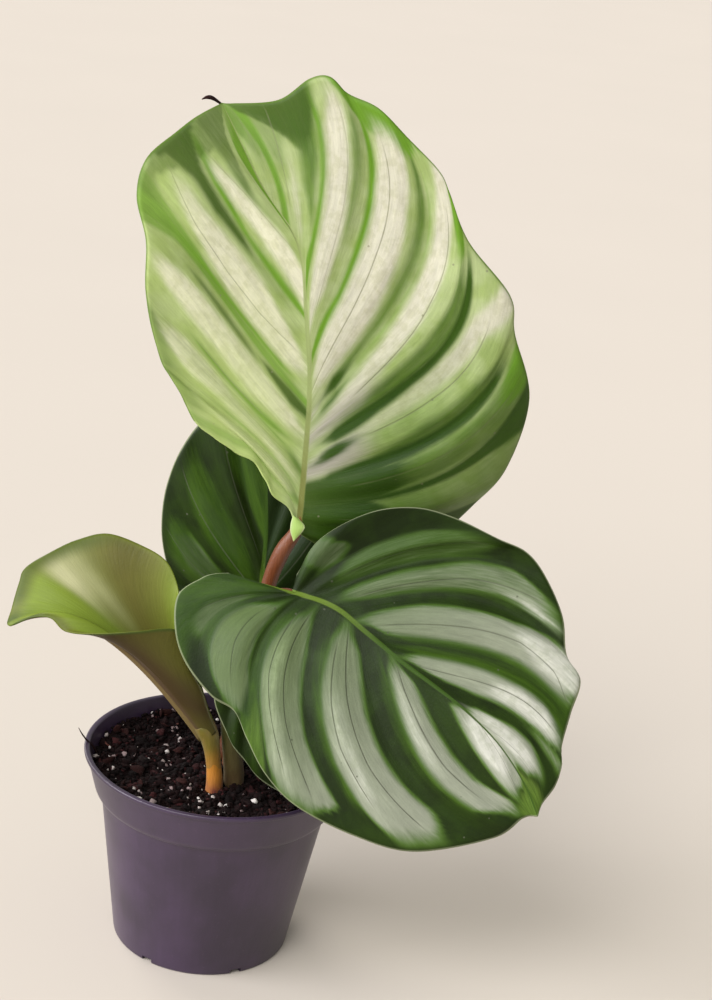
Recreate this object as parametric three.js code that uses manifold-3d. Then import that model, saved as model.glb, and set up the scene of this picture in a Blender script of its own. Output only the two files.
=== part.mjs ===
import * as THREE from 'three';
import { mergeVertices } from 'three/addons/utils/BufferGeometryUtils.js';
import Module from 'manifold-3d';

// Potted round-leaf calathea. Millimetres, +Z up, origin at the centre of the underside of the pot.
// +X points to the side of the large front leaf, -Y to the side that most leaves face.

// Pot: tapered wall, wider collar on top, rolled lip
const POT_HEIGHT = 53;
const LIP_RADIUS = 35;
const LIP_HEIGHT = 1.1;
const LIP_WIDTH = 1.4;
const COLLAR_TOP_RADIUS = 34.3;
const COLLAR_FOOT_RADIUS = 31.4;
const COLLAR_FOOT_HEIGHT = 41.3;
const WALL_TOP_RADIUS = 29.7;
const FOOT_RADIUS = 23.3;
const WALL = 0.9;
const LEDGE = 1;
const BEVEL = 0.4;
const FLOOR = 2.5;
const POT_SIDES = 60;

// Underside of the pot: flat centre, raised channel with drain holes, foot ring with notches
const CHANNEL_INNER = 16;
const CHANNEL_OUTER = 21.4;
const CHANNEL_HEIGHT = 1.5;
const CHANNEL_SLOPE = 0.6;
const DRAIN_COUNT = 6;
const DRAIN_RADIUS = 2;
const DRAIN_PLACE = 18.7;
const NOTCH_WIDTH = 3;
const HOLE_SIDES = 16;

// Soil: lumpy top, a hole for each stem
const SOIL_TOP = 47;
const SOIL_LUMP = 0.5;
const SOIL_EDGE_DROP = 0.6;
const SOIL_SIDES = 44;
const SOIL_RING_STEP = 3.2;
const SOIL_CLEARANCE = 0.45;
const STEM_CLEARANCE = 0.4;
const HOLE_FLOOR = 35;

// Leaves: pleats between the veins, a waved margin, a ridge under the rib
const BLADE_THICKNESS = 0.6;
const PLEAT = 0.5;
const PLEAT_FULLNESS = 0.8;
const EDGE_WAVE = 0.5;
const EDGE_POWER = 4;
const FULL_RELIEF_SPAN = 15;
const RIB_NEAR = 1;
const RIB_NEAR_SHARE = 0.13;
const RIB_WIDE = 2.4;
const RIB_WIDE_SHARE = 0.3;
const RIB_PROBE = 0.1;
const RIB_FLANK = 0.6;

// Stems
const STEM_SIDES = 9;
const RINGS_PER_POINT = 2;

const COLOURS = {
  pot: 0x5b4458,
  soil: 0x2a1612,
  silver: 0x9fb089,
  green: 0x4b6a2a,
  young: 0x8f9440,
  rust: 0x7a4a26,
  amber: 0xa06c2a,
};

// A blade is described in its own directions: across, along (from base to tip) and up (out of the
// upper face). Its rib is a curve through [across, along, up] points. Each half is a fan of veins:
// [band, place on rib, margin across, margin along, margin up, bow near rib, bow near margin].
// Whole band numbers are the middles of the dark bands.
const UPPER_BLADE = {
  base: [13.7, 1, 116.4],
  along: [-0.06, 0.2, 1],
  up: [0, -1, 0.2],
  lift: 1.3,
  puff: 0.03,
  ribDepth: [1.4, 0.4],
  columns: 36,
  steps: 7,
  rib: [
    [0, 0, 0], [0.5, 18.5, -1], [0.5, 37, -1.5], [-1.5, 54, -2], [-4.5, 71, -3], [-14, 84.5, -4],
    [-26, 105, -8],
  ],
  left: [
    [0.7, 0, -26, 28.7, 11.3, -0.08, -0.07],
    [1, 0.03, -29, 33, 12.2, -0.1, -0.08],
    [1.5, 0.05, -33, 38.5, 12.8, -0.11, -0.04],
    [2, 0.07, -36, 43.5, 13, -0.11, 0],
    [3, 0.166, -40, 58, 12.5, 0.04, 0],
    [3.5, 0.23, -40.7, 70.5, 11, 0.03, -0.03],
    [4, 0.3, -44, 81, 8, 0.03, -0.06],
    [4.5, 0.4, -42.5, 90, 4, 0.02, -0.03],
    [5, 0.5, -36, 97, 1, 0, 0],
    [5.5, 0.72, -31, 101.5, -3, 0, 0],
  ],
  right: [
    [0, 0, 5, -3.2, -3, 0, 0],
    [0.3, 0.005, 14, -5.5, -8, 0.02, 0.03],
    [0.6, 0.01, 26, -4, -11, 0.06, 0.07],
    [0.8, 0.015, 36, 0.5, -12, 0.09, 0.1],
    [1, 0.022, 44, 8.8, -10, 0.1, 0.1],
    [1.5, 0.04, 51.2, 19.4, -6, 0.12, 0.15],
    [2, 0.065, 55.2, 37.6, 0, 0.13, 0.2],
    [3, 0.121, 50, 54, 5, 0.13, 0.26],
    [3.5, 0.155, 48, 63.3, 5, 0.12, 0.32],
    [4, 0.194, 37, 75.5, 5, 0.1, 0.38],
    [4.5, 0.222, 31.5, 86.8, 4, 0.09, 0.38],
    [4.7, 0.235, 28.5, 92, 4, 0.08, 0.37],
    [5, 0.252, 20.8, 99, 3, 0.08, 0.37],
    [5.5, 0.3, 13, 105.8, 1.5, 0.04, 0.34],
    [6, 0.36, 5.2, 109, 0, 0, 0.3],
    [6.5, 0.43, 0.5, 112.7, -0.5, 0, 0.23],
    [7, 0.506, -4.5, 112, -2, 0, 0.17],
    [7.5, 0.6, -12, 106.5, -4.5, 0.06, 0.13],
    [8, 0.725, -23.5, 105, -7, 0.12, 0.1],
  ],
};

const FRONT_BLADE = {
  base: [14.2, -7, 103.6],
  along: [0.8, -0.32, -0.47],
  up: [0.05, -0.85, 0.5],
  lift: 1.3,
  puff: 0.05,
  ribDepth: [1.4, 0.4],
  columns: 36,
  steps: 7,
  rib: [
    [0, 0, 0], [-4, 10, 1.5], [-4.7, 20, 2.5], [-5, 30, 3.2], [-6, 41, 3.5], [-6.8, 51, 3.2],
    [-6.5, 62, 2.2], [-4, 73, 1], [0, 82, 0],
  ],
  left: [
    [0, 0, -4, -2, 1.5, 0, 0],
    [0.3, 0.006, -13.6, -3.3, 5, 0, 0.05],
    [0.6, 0.012, -26.4, 1.5, 8, 0.05, 0.08],
    [0.8, 0.017, -35.3, 9, 8.5, 0.1, 0.1],
    [1, 0.022, -40.3, 18, 8, 0.13, 0.09],
    [1.4, 0.035, -44, 29.5, 5.5, 0.12, 0.12],
    [1.7, 0.048, -46.8, 37, 3, 0.12, 0.16],
    [2, 0.063, -45.6, 44.5, 2, 0.12, 0.21],
    [2.5, 0.1, -41, 54, 0.5, 0.15, 0.23],
    [3, 0.151, -34.8, 61, 0, 0.18, 0.25],
    [3.4, 0.2, -32.3, 67.7, -1, 0.14, 0.23],
    [4, 0.296, -24.6, 71.4, -1, 0.06, 0.21],
    [4.5, 0.36, -17, 75, -1, 0.06, 0.25],
    [4.7, 0.4, -13.4, 78.2, -1, 0.07, 0.27],
    [5, 0.445, -8.5, 80.3, -1, 0.08, 0.28],
    [5.5, 0.7, -3, 80.8, -0.5, 0.1, 0.2],
  ],
  right: [
    [0, 0, 7.4, -14.9, 1, 0, 0],
    [0.2, 0.004, 10, -17.3, 1.2, 0.01, 0.01],
    [0.4, 0.008, 13, -18.9, 1, 0.02, 0.02],
    [0.6, 0.012, 20, -20.3, 0, 0.04, 0.06],
    [0.8, 0.016, 27, -14.5, 0, 0.12, 0.22],
    [0.9, 0.019, 31, -7, -0.5, 0.2, 0.38],
    [1, 0.022, 32.5, 3, -1, 0.31, 0.56],
    [1.5, 0.032, 31.5, 10, 0, 0.28, 0.3],
    [2, 0.043, 34.3, 16.7, 1, 0.27, 0.1],
    [2.3, 0.06, 37.5, 26, -1, 0.27, 0.1],
    [2.6, 0.083, 38, 37, -2, 0.27, 0.1],
    [3, 0.11, 33.7, 52, -2, 0.27, 0.1],
    [3.5, 0.17, 26.5, 65.5, -3, 0.22, 0.15],
    [4, 0.231, 11, 77.5, -2, 0.17, 0.23],
    [5, 0.41, 2.5, 79.7, -1, 0.03, 0.12],
  ],
};

const BACK_BLADE = {
  base: [6.8, 14, 85.2],
  along: [-0.08, 0.12, 1],
  up: [-0.1, -1, 0.12],
  lift: 1.5,
  puff: 0.05,
  ribDepth: [1, 0.3],
  columns: 20,
  steps: 6,
  rib: [[0, 0, 0], [-0.3, 10, 1], [0.3, 23, 1], [0, 36, 1], [-0.8, 49, 0], [-2.7, 61, -2]],
  left: [
    [0, 0, -6, -1.6, 1, 0, 0],
    [0.4, 0.02, -15.4, 1.2, 1, 0.03, 0.03],
    [0.7, 0.035, -22, 6.5, 1, 0.07, 0.07],
    [1, 0.05, -25.8, 13, 0.5, 0.1, 0.1],
    [1.5, 0.065, -27.5, 24, 0, 0.12, 0.12],
    [2, 0.085, -26.2, 36.5, 0, 0.13, 0.13],
    [3, 0.17, -19.5, 50.5, -1, -0.05, 0.08],
    [4, 0.35, -9, 58.5, -2, 0.05, 0.08],
    [5, 0.65, -5.2, 60.3, -2, 0, 0.05],
  ],
  right: [
    [0, 0, 6, -1.6, 1, 0, 0],
    [0.4, 0.02, 15, 1.5, 0, 0.03, 0.03],
    [0.7, 0.035, 21, 7.5, -1, 0.07, 0.07],
    [1, 0.05, 24, 15, -1, 0.1, 0.1],
    [1.5, 0.065, 25, 25, -1, 0.12, 0.12],
    [2, 0.085, 23.5, 37, -1, 0.13, 0.13],
    [3, 0.17, 16.5, 50.5, -2, 0, 0.08],
    [4, 0.35, 5.5, 59, -2, 0.05, 0.08],
    [5, 0.65, 2, 60.7, -2, 0.03, 0.05],
  ],
};

const LOW_BLADE = {
  base: [2, -12, 82],
  along: [0.72, -0.2, -0.67],
  up: [-0.1, -1, 0.25],
  lift: 1.4,
  puff: 0.05,
  ribDepth: [0.9, 0.3],
  columns: 14,
  steps: 5,
  rib: [[0, 0, 0], [0, 10, 0.6], [0, 20, 0.8], [0, 30, 0.4], [0, 38.5, 0]],
  left: [
    [0, 0, -3, -1, 0.6, 0, 0],
    [0.5, 0.04, -7.5, 3.5, 1, 0.05, 0.05],
    [1, 0.09, -10, 11, 1, 0.1, 0.1],
    [2, 0.24, -11, 20, 0.5, 0.1, 0.1],
    [3, 0.45, -9, 29, 0.5, 0.08, 0.1],
    [4, 0.68, -4.5, 36.4, 0, 0.05, 0.1],
  ],
  right: [
    [0, 0, 3, -1.2, 0.6, 0, 0],
    [0.5, 0.04, 7.8, 2.4, 1, 0.05, 0.05],
    [1, 0.09, 10.9, 11, 1, 0.1, 0.1],
    [2, 0.24, 11.9, 19.5, 0.5, 0.1, 0.1],
    [3, 0.45, 10.8, 29, 0.5, 0.08, 0.1],
    [4, 0.68, 5.5, 36.6, 0, 0.05, 0.1],
  ],
};

// Young blade: still rolled to an open funnel. Each [across, along, up] point lies on the mouth,
// from the near side of the open seam round to its far side.
const YOUNG_BLADE = {
  base: [-2.4, -8.5, 62.3],
  along: [-0.62, -0.02, 0.78],
  up: [0, -1, 0],
  throatRadius: 2.2,
  seamStart: 21,
  seamTurn: 326,
  flare: 0.75,
  tipFlare: 0.27,
  tipFlareSpread: 0.15,
  belly: 1.9,
  lean: 2,
  columns: 30,
  steps: 8,
  ribDepth: 0.9,
  ribSpread: 1.5,
  ribTaper: 0.7,
  tipPlace: 0.41,
  mouth: [
    [8.7, 26.3, 2], [9.5, 30.7, 4], [2.1, 36.2, 7.8], [-6, 40.6, 8.2], [-12.9, 44.5, 6.6],
    [-15, 48.8, 4.5], [-19.8, 50.8, 2.5], [-26.9, 51.5, 0.5], [-24.8, 54.1, -2.6], [-20.6, 58, -5.7],
    [-17.4, 60.2, -7.7], [-10.4, 59.7, -10.7], [-3.6, 58.5, -12.7], [3.8, 55.6, -13.6],
    [10.1, 48.2, -12.5], [13.4, 42.5, -10.4], [13.3, 36.7, -7.2], [11.8, 33, -3.2],
  ],
};

// Stems: points of the middle line and the radius at each of them. They rise straight out of the soil.
// The low leaf has one colour, so its stem grows into its blade as one body.
const STEMS = {
  upper: {
    path: [
      [3, 4, 35.4], [3, 4, 46], [3, 4, 50], [4.6, 3.2, 75], [7.5, 2.8, 99], [10, 2.6, 109.5],
      [12.8, 2.5, 115.7],
    ],
    radii: [2, 2, 2, 1.9, 1.9, 2.1, 1.4],
    colour: 'rust',
  },
  front: {
    path: [
      [12, 2.5, 35.4], [12, 2.5, 46], [12, 2.5, 52], [9.6, -0.6, 72], [8, -3, 92],
      [9.6, -3.8, 99.8], [13.1, -5, 102.1],
    ],
    radii: [1.9, 1.9, 1.9, 1.7, 1.6, 1.6, 1.3],
    colour: 'rust',
  },
  back: {
    path: [
      [1, 9.5, 35.4], [1, 9.5, 46], [1, 9.5, 50], [2.5, 12, 63], [5.6, 14.6, 76],
      [6.8, 15, 84.2],
    ],
    radii: [1.8, 1.8, 1.8, 1.5, 1.4, 1.3],
    colour: 'rust',
  },
  young: {
    path: [
      [0.2, -8.7, 35.4], [0.2, -8.7, 45], [0.2, -8.7, 49], [-0.7, -8.6, 55], [-1.9, -8.5, 61],
    ],
    radii: [2.4, 2.4, 2.4, 2.2, 1.9],
    colour: 'amber',
  },
};

const LOW_STEM = {
  path: [
    [4.8, -4.2, 35.4], [4.8, -4.2, 45], [4.8, -4.2, 49], [3.7, -4.4, 55.5], [2, -5, 64],
    [1, -6.8, 72], [1.1, -9.4, 78.6], [1.8, -11.3, 81.6], [3.8, -12.1, 80.2],
  ],
  radii: [2.7, 2.7, 2.7, 2.5, 2.1, 1.8, 1.4, 1, 0.6],
};

const wasm = await Module();
wasm.setup();

// Curves

function catmullRom(a, b, c, d, f) {
  const first = (c - a) * f;
  const second = (2 * a - 5 * b + 4 * c - d) * f * f;
  const third = (3 * b - a - 3 * c + d) * f * f * f;
  return b + 0.5 * (first + second + third);
}

function beyond(inner, end) {
  return end.map((value, i) => 2 * value - inner[i]);
}

function segmentAt(rows, place) {
  const last = rows.length - 1;
  const x = Math.min(Math.max(place, 0), 1) * last;
  const index = Math.min(Math.floor(x), last - 1);
  return [index, x - index];
}

// A smooth curve through rows of values that lie evenly between place 0 and 1
function splineAt(rows, place) {
  const [i, f] = segmentAt(rows, place);
  const before = i > 0 ? rows[i - 1] : beyond(rows[1], rows[0]);
  const after = i + 2 < rows.length ? rows[i + 2] : beyond(rows[i], rows[i + 1]);
  return rows[i].map((value, k) => catmullRom(before[k], value, rows[i + 1][k], after[k], f));
}

function linearAt(rows, place) {
  const [i, f] = segmentAt(rows, place);
  return rows[i].map((value, k) => value + (rows[i + 1][k] - value) * f);
}

// The place among the veins of one half whose rib end is at s
function placeOf(rows, s) {
  const last = rows.length - 1;
  let i = 0;
  while (i < last - 1 && rows[i + 1][1] < s) {
    i += 1;
  }
  const f = (s - rows[i][1]) / (rows[i + 1][1] - rows[i][1]);
  return (i + Math.min(Math.max(f, 0), 1)) / last;
}

// Surfaces

function directionsOf(blade) {
  const along = new THREE.Vector3(...blade.along).normalize();
  const up = new THREE.Vector3(...blade.up);
  up.addScaledVector(along, -up.dot(along)).normalize();
  const across = new THREE.Vector3().crossVectors(along, up);
  return { across, along, up };
}

function placed(blade, directions, x, y, z) {
  return new THREE.Vector3(...blade.base)
    .addScaledVector(directions.across, x)
    .addScaledVector(directions.along, y)
    .addScaledVector(directions.up, z);
}

function withTip(blade, rows) {
  const tip = blade.rib[blade.rib.length - 1];
  const band = Math.floor(rows[rows.length - 1][0]) + 1;
  return [...rows, [band, 1, ...tip, 0, 0]];
}

// The direction of the rib at s, seen from above the blade
function ribWay(blade, s) {
  const ahead = splineAt(blade.rib, Math.min(1, s + RIB_PROBE));
  const behind = splineAt(blade.rib, Math.max(0, s - RIB_PROBE));
  const x = ahead[0] - behind[0];
  const y = ahead[1] - behind[1];
  const length = Math.hypot(x, y);
  return [x / length, y / length];
}

// One point on a half of a blade: place picks the vein, t runs along it from rib to margin
function bladePoint(blade, directions, rows, side, place, t) {
  const [band, s] = linearAt(rows, place);
  const [, , endX, endY, endZ, bowIn, bowOut] = splineAt(rows, place);
  const [ribX, ribY, ribZ] = splineAt(blade.rib, s);
  const dx = endX - ribX;
  const dy = endY - ribY;
  const rest = 1 - t;
  const bow = side * 3 * t * rest * (rest * bowIn + t * bowOut);
  const x = ribX + dx * t + dy * bow;
  const y = ribY + dy * t - dx * bow;
  const [wayX, wayY] = ribWay(blade, s);
  const span = Math.abs(dx * wayY - dy * wayX);
  const reach = Math.min(1, span / FULL_RELIEF_SPAN);
  const hump = Math.max(0, Math.sin(Math.PI * t));
  const relief = PLEAT * Math.pow(hump, PLEAT_FULLNESS) + EDGE_WAVE * Math.pow(t, EDGE_POWER);
  const z = ribZ + (endZ - ribZ) * Math.pow(t, blade.lift) + blade.puff * span * hump
    - relief * reach * Math.cos(2 * Math.PI * band);
  return placed(blade, directions, x, y, z);
}

// Steps along a vein: two at fixed distances from the rib for its ridge, the others spread evenly
function stepsAlong(blade, directions, rows, side, place, steps) {
  const start = bladePoint(blade, directions, rows, side, place, 0);
  const out = bladePoint(blade, directions, rows, side, place, RIB_PROBE).sub(start);
  const [wayX, wayY] = ribWay(blade, linearAt(rows, place)[1]);
  const apart = Math.abs(out.dot(directions.across) * wayY - out.dot(directions.along) * wayX);
  const near = Math.min(RIB_PROBE * RIB_NEAR / apart, RIB_NEAR_SHARE);
  const wide = Math.min(RIB_PROBE * RIB_WIDE / apart, RIB_WIDE_SHARE);
  const places = [near, wide];
  for (let k = 3; k <= steps; k += 1) {
    places.push(wide + (1 - wide) * (k - 2) / (steps - 2));
  }
  return places;
}

// Solids

function solidFrom(points, faces) {
  const geometry = new THREE.BufferGeometry();
  const coordinates = points.flatMap((p) => [p.x, p.y, p.z]);
  geometry.setAttribute('position', new THREE.Float32BufferAttribute(coordinates, 3));
  geometry.setIndex(faces.flat());
  geometry.computeVertexNormals();
  return geometry;
}

// A thin closed body on both sides of a sheet of points. Rows run along the blade, points in a row
// run across it; an optional tip point closes the far end. depth adds a ridge on the underside,
// which sinks along ridgeWay or, without it, along the normals.
function thickSheet(rows, depth, ridgeWay, tip) {
  const width = rows[0].length;
  const points = rows.flat();
  const depths = depth.flat();
  const faces = [];
  for (let i = 0; i + 1 < rows.length; i += 1) {
    for (let j = 0; j + 1 < width; j += 1) {
      const a = i * width + j;
      const c = a + width + 1;
      faces.push([a, a + 1, c], [a, c, a + width]);
    }
  }
  const lastRow = (rows.length - 1) * width;
  const border = [];
  for (let j = 0; j < width; j += 1) {
    border.push(j);
  }
  for (let i = 1; i < rows.length; i += 1) {
    border.push(i * width + width - 1);
  }
  if (tip) {
    const end = points.length;
    points.push(tip.point);
    depths.push(tip.depth);
    for (let j = 0; j + 1 < width; j += 1) {
      faces.push([lastRow + j, lastRow + j + 1, end]);
    }
    border.push(end);
  } else {
    for (let j = width - 2; j > 0; j -= 1) {
      border.push(lastRow + j);
    }
  }
  for (let i = rows.length - 1; i > 0; i -= 1) {
    border.push(i * width);
  }

  const normals = points.map(() => new THREE.Vector3());
  for (const [a, b, c] of faces) {
    const first = new THREE.Vector3().subVectors(points[b], points[a]);
    const second = new THREE.Vector3().subVectors(points[c], points[a]);
    const normal = first.cross(second);
    [a, b, c].forEach((k) => normals[k].add(normal));
  }
  normals.forEach((normal) => normal.normalize());

  const half = BLADE_THICKNESS / 2;
  const count = points.length;
  const upper = points.map((p, k) => p.clone().addScaledVector(normals[k], half));
  const lower = points.map((p, k) => p.clone().addScaledVector(normals[k], -half)
    .addScaledVector(ridgeWay ?? normals[k], -depths[k]));
  const closed = [...faces];
  for (const [a, b, c] of faces) {
    closed.push([a + count, c + count, b + count]);
  }
  border.forEach((a, k) => {
    const b = border[(k + 1) % border.length];
    closed.push([a, a + count, b + count], [a, b + count, b]);
  });
  return solidFrom([...upper, ...lower], closed);
}

function bladeSolid(blade) {
  const directions = directionsOf(blade);
  const left = withTip(blade, blade.left);
  const right = withTip(blade, blade.right);
  const rows = [];
  const depth = [];
  for (let j = 0; j < blade.columns; j += 1) {
    const evenly = j / blade.columns;
    const s = (linearAt(left, evenly)[1] + linearAt(right, evenly)[1]) / 2;
    const ridge = blade.ribDepth[0] + (blade.ribDepth[1] - blade.ribDepth[0]) * s;
    const half = (veins, side) => {
      const place = placeOf(veins, s);
      const steps = stepsAlong(blade, directions, veins, side, place, blade.steps);
      return steps.map((t) => bladePoint(blade, directions, veins, side, place, t));
    };
    const middle = bladePoint(blade, directions, left, -1, placeOf(left, s), 0);
    rows.push([...half(left, -1).reverse(), middle, ...half(right, 1)]);
    const row = new Array(2 * blade.steps + 1).fill(0);
    row[blade.steps] = ridge;
    row[blade.steps - 1] = ridge * RIB_FLANK;
    row[blade.steps + 1] = ridge * RIB_FLANK;
    depth.push(row);
  }
  const tipPoint = placed(blade, directions, ...blade.rib[blade.rib.length - 1]);
  return thickSheet(rows, depth, directions.up, { point: tipPoint, depth: 0 });
}

// The rolled blade: each column is a bent line from the throat circle to the mouth
function youngSolid(blade) {
  const directions = directionsOf(blade);
  const rows = [];
  const depth = [];
  for (let i = 0; i <= blade.steps; i += 1) {
    const h = i / blade.steps;
    const row = [];
    const ridges = [];
    for (let j = 0; j <= blade.columns; j += 1) {
      const place = j / blade.columns;
      const angle = THREE.MathUtils.degToRad(blade.seamStart + blade.seamTurn * place);
      const startX = blade.throatRadius * Math.cos(angle);
      const startZ = blade.throatRadius * Math.sin(angle);
      const [endX, endY, endZ] = splineAt(blade.mouth, place);
      const a = (1 - h) * (1 - h);
      const b = 2 * h * (1 - h);
      const c = h * h;
      const x = a * startX + b * (blade.belly * startX + blade.lean) + c * endX;
      const fromTip = Math.abs(place - blade.tipPlace);
      const flare = blade.flare + blade.tipFlare * Math.exp(-((fromTip / blade.tipFlareSpread) ** 2));
      const y = b * flare * endY + c * endY;
      const z = (a + b * blade.belly) * startZ + c * endZ;
      row.push(placed(blade, directions, x, y, z));
      const flank = Math.max(0, 1 - fromTip * blade.columns / blade.ribSpread);
      ridges.push(blade.ribDepth * flank * (1 - blade.ribTaper * h));
    }
    rows.push(row);
    depth.push(ridges);
  }
  return thickSheet(rows, depth, null, null);
}

// A closed body from rings with the same number of points, from the bottom ring to the top one
function ringSolid(rings) {
  const sides = rings[0].length;
  const points = rings.flat();
  const faces = [];
  for (let i = 0; i + 1 < rings.length; i += 1) {
    for (let j = 0; j < sides; j += 1) {
      const a = i * sides + j;
      const b = i * sides + (j + 1) % sides;
      faces.push([a, b, b + sides], [a, b + sides, a + sides]);
    }
  }
  const centreOf = (ring) => {
    const centre = new THREE.Vector3();
    ring.forEach((p) => centre.add(p));
    return centre.divideScalar(sides);
  };
  const bottom = points.push(centreOf(rings[0])) - 1;
  const top = points.push(centreOf(rings[rings.length - 1])) - 1;
  const lastRing = (rings.length - 1) * sides;
  for (let j = 0; j < sides; j += 1) {
    const next = (j + 1) % sides;
    faces.push([bottom, next, j], [top, lastRing + j, lastRing + next]);
  }
  return solidFrom(points, faces);
}

function stemSolid({ path, radii }) {
  const rings = [];
  const count = (path.length - 1) * RINGS_PER_POINT;
  for (let i = 0; i <= count; i += 1) {
    const place = i / count;
    const step = 0.5 / count;
    const middle = new THREE.Vector3(...splineAt(path, place));
    const ahead = new THREE.Vector3(...splineAt(path, Math.min(1, place + step)));
    const behind = new THREE.Vector3(...splineAt(path, Math.max(0, place - step)));
    const direction = ahead.sub(behind).normalize();
    const sideways = new THREE.Vector3(0, 1, 0).cross(direction).normalize();
    const forward = new THREE.Vector3().crossVectors(direction, sideways);
    const [radius] = splineAt(radii.map((value) => [value]), place);
    const ring = [];
    for (let j = 0; j < STEM_SIDES; j += 1) {
      const angle = 2 * Math.PI * j / STEM_SIDES;
      ring.push(middle.clone()
        .addScaledVector(sideways, radius * Math.cos(angle))
        .addScaledVector(forward, radius * Math.sin(angle)));
    }
    rings.push(ring);
  }
  return ringSolid(rings);
}

// Solid operations

function toManifold(geometry) {
  const bare = geometry.clone();
  bare.deleteAttribute('normal');
  bare.deleteAttribute('uv');
  const merged = mergeVertices(bare, 1e-4);
  return new wasm.Manifold(new wasm.Mesh({
    numProp: 3,
    vertProperties: new Float32Array(merged.attributes.position.array),
    triVerts: new Uint32Array(merged.index.array),
  }));
}

function toGeometry(manifold) {
  const mesh = manifold.getMesh();
  const geometry = new THREE.BufferGeometry();
  geometry.setAttribute('position', new THREE.BufferAttribute(mesh.vertProperties, 3));
  geometry.setIndex(new THREE.BufferAttribute(mesh.triVerts, 1));
  geometry.computeVertexNormals();
  return geometry;
}

function uprightCylinder(radius, height, x, y, z) {
  const geometry = new THREE.CylinderGeometry(radius, radius, height, HOLE_SIDES);
  geometry.rotateX(Math.PI / 2);
  geometry.translate(x, y, z + height / 2);
  return toManifold(geometry);
}

// Pot

const INNER_TOP = LIP_RADIUS - LIP_WIDTH;
const INNER_COLLAR = COLLAR_FOOT_RADIUS - WALL;
const INNER_WALL = WALL_TOP_RADIUS - WALL;
const INNER_FOOT = FOOT_RADIUS - WALL;

function potSolid() {
  const profile = [
    [0, 0],
    [CHANNEL_INNER, 0],
    [CHANNEL_INNER + CHANNEL_SLOPE, CHANNEL_HEIGHT],
    [CHANNEL_OUTER - CHANNEL_SLOPE, CHANNEL_HEIGHT],
    [CHANNEL_OUTER, 0],
    [FOOT_RADIUS - BEVEL, 0],
    [FOOT_RADIUS, BEVEL],
    [WALL_TOP_RADIUS, COLLAR_FOOT_HEIGHT],
    [COLLAR_FOOT_RADIUS - BEVEL, COLLAR_FOOT_HEIGHT],
    [COLLAR_FOOT_RADIUS, COLLAR_FOOT_HEIGHT + BEVEL],
    [COLLAR_TOP_RADIUS, POT_HEIGHT - LIP_HEIGHT],
    [LIP_RADIUS, POT_HEIGHT - LIP_HEIGHT + BEVEL / 2],
    [LIP_RADIUS, POT_HEIGHT - BEVEL],
    [LIP_RADIUS - BEVEL, POT_HEIGHT],
    [INNER_TOP, POT_HEIGHT],
    [INNER_COLLAR, COLLAR_FOOT_HEIGHT + LEDGE],
    [INNER_WALL, COLLAR_FOOT_HEIGHT - LEDGE],
    [INNER_FOOT + BEVEL / 2, FLOOR + BEVEL],
    [INNER_FOOT - BEVEL, FLOOR],
    [0, FLOOR],
  ].map(([radius, height]) => new THREE.Vector2(radius, height));
  const lathe = new THREE.LatheGeometry(profile, POT_SIDES);
  lathe.rotateX(Math.PI / 2);
  let pot = toManifold(lathe);
  for (let i = 0; i < DRAIN_COUNT; i += 1) {
    const angle = 2 * Math.PI * i / DRAIN_COUNT;
    const x = DRAIN_PLACE * Math.cos(angle);
    const y = DRAIN_PLACE * Math.sin(angle);
    pot = pot.subtract(uprightCylinder(DRAIN_RADIUS, 2 * FLOOR, x, y, -FLOOR / 2));
    const ringWidth = FOOT_RADIUS - CHANNEL_OUTER;
    const notch = new THREE.BoxGeometry(3 * ringWidth, NOTCH_WIDTH, 2 * CHANNEL_HEIGHT);
    notch.translate((FOOT_RADIUS + CHANNEL_OUTER) / 2, 0, 0);
    notch.rotateZ(angle);
    pot = pot.subtract(toManifold(notch));
  }
  return toGeometry(pot);
}

// Soil

function soilHeight(x, y) {
  const broad = Math.sin(0.31 * x + 1.3) * Math.cos(0.27 * y - 0.4);
  const middle = 0.6 * Math.sin(0.62 * x - 0.45 * y + 0.7);
  const small = 0.5 * Math.sin(1.1 * x + 0.9 * y) * Math.sin(0.8 * x - 1.2 * y + 2);
  return SOIL_TOP + SOIL_LUMP * (broad + middle + small);
}

function soilSolid() {
  const ringAt = (radius, heightAt) => {
    const ring = [];
    for (let j = 0; j < SOIL_SIDES; j += 1) {
      const angle = 2 * Math.PI * j / SOIL_SIDES;
      const x = radius * Math.cos(angle);
      const y = radius * Math.sin(angle);
      ring.push(new THREE.Vector3(x, y, heightAt(x, y)));
    }
    return ring;
  };
  const level = (height) => () => height;
  const ledgeTop = COLLAR_FOOT_HEIGHT + LEDGE;
  const edgeHeight = SOIL_TOP - SOIL_EDGE_DROP;
  const slope = (INNER_TOP - INNER_COLLAR) / (POT_HEIGHT - ledgeTop);
  const edgeRadius = INNER_COLLAR + slope * (edgeHeight - ledgeTop) - SOIL_CLEARANCE;
  const rings = [
    ringAt(INNER_FOOT - BEVEL - SOIL_CLEARANCE, level(FLOOR + SOIL_CLEARANCE)),
    ringAt(INNER_WALL - SOIL_CLEARANCE, level(COLLAR_FOOT_HEIGHT - LEDGE)),
    ringAt(INNER_COLLAR - SOIL_CLEARANCE, level(ledgeTop)),
    ringAt(edgeRadius, level(edgeHeight)),
  ];
  for (let radius = edgeRadius - 1; radius > 1; radius -= SOIL_RING_STEP) {
    rings.push(ringAt(radius, soilHeight));
  }
  let soil = toManifold(ringSolid(rings));
  for (const { path, radii } of [...Object.values(STEMS), LOW_STEM]) {
    const [x, y] = path[0];
    const hole = uprightCylinder(radii[0] + STEM_CLEARANCE, SOIL_TOP, x, y, HOLE_FLOOR);
    soil = soil.subtract(hole);
  }
  return toGeometry(soil);
}

// Assembly

const group = new THREE.Group();
group.name = 'potted_calathea';

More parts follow.
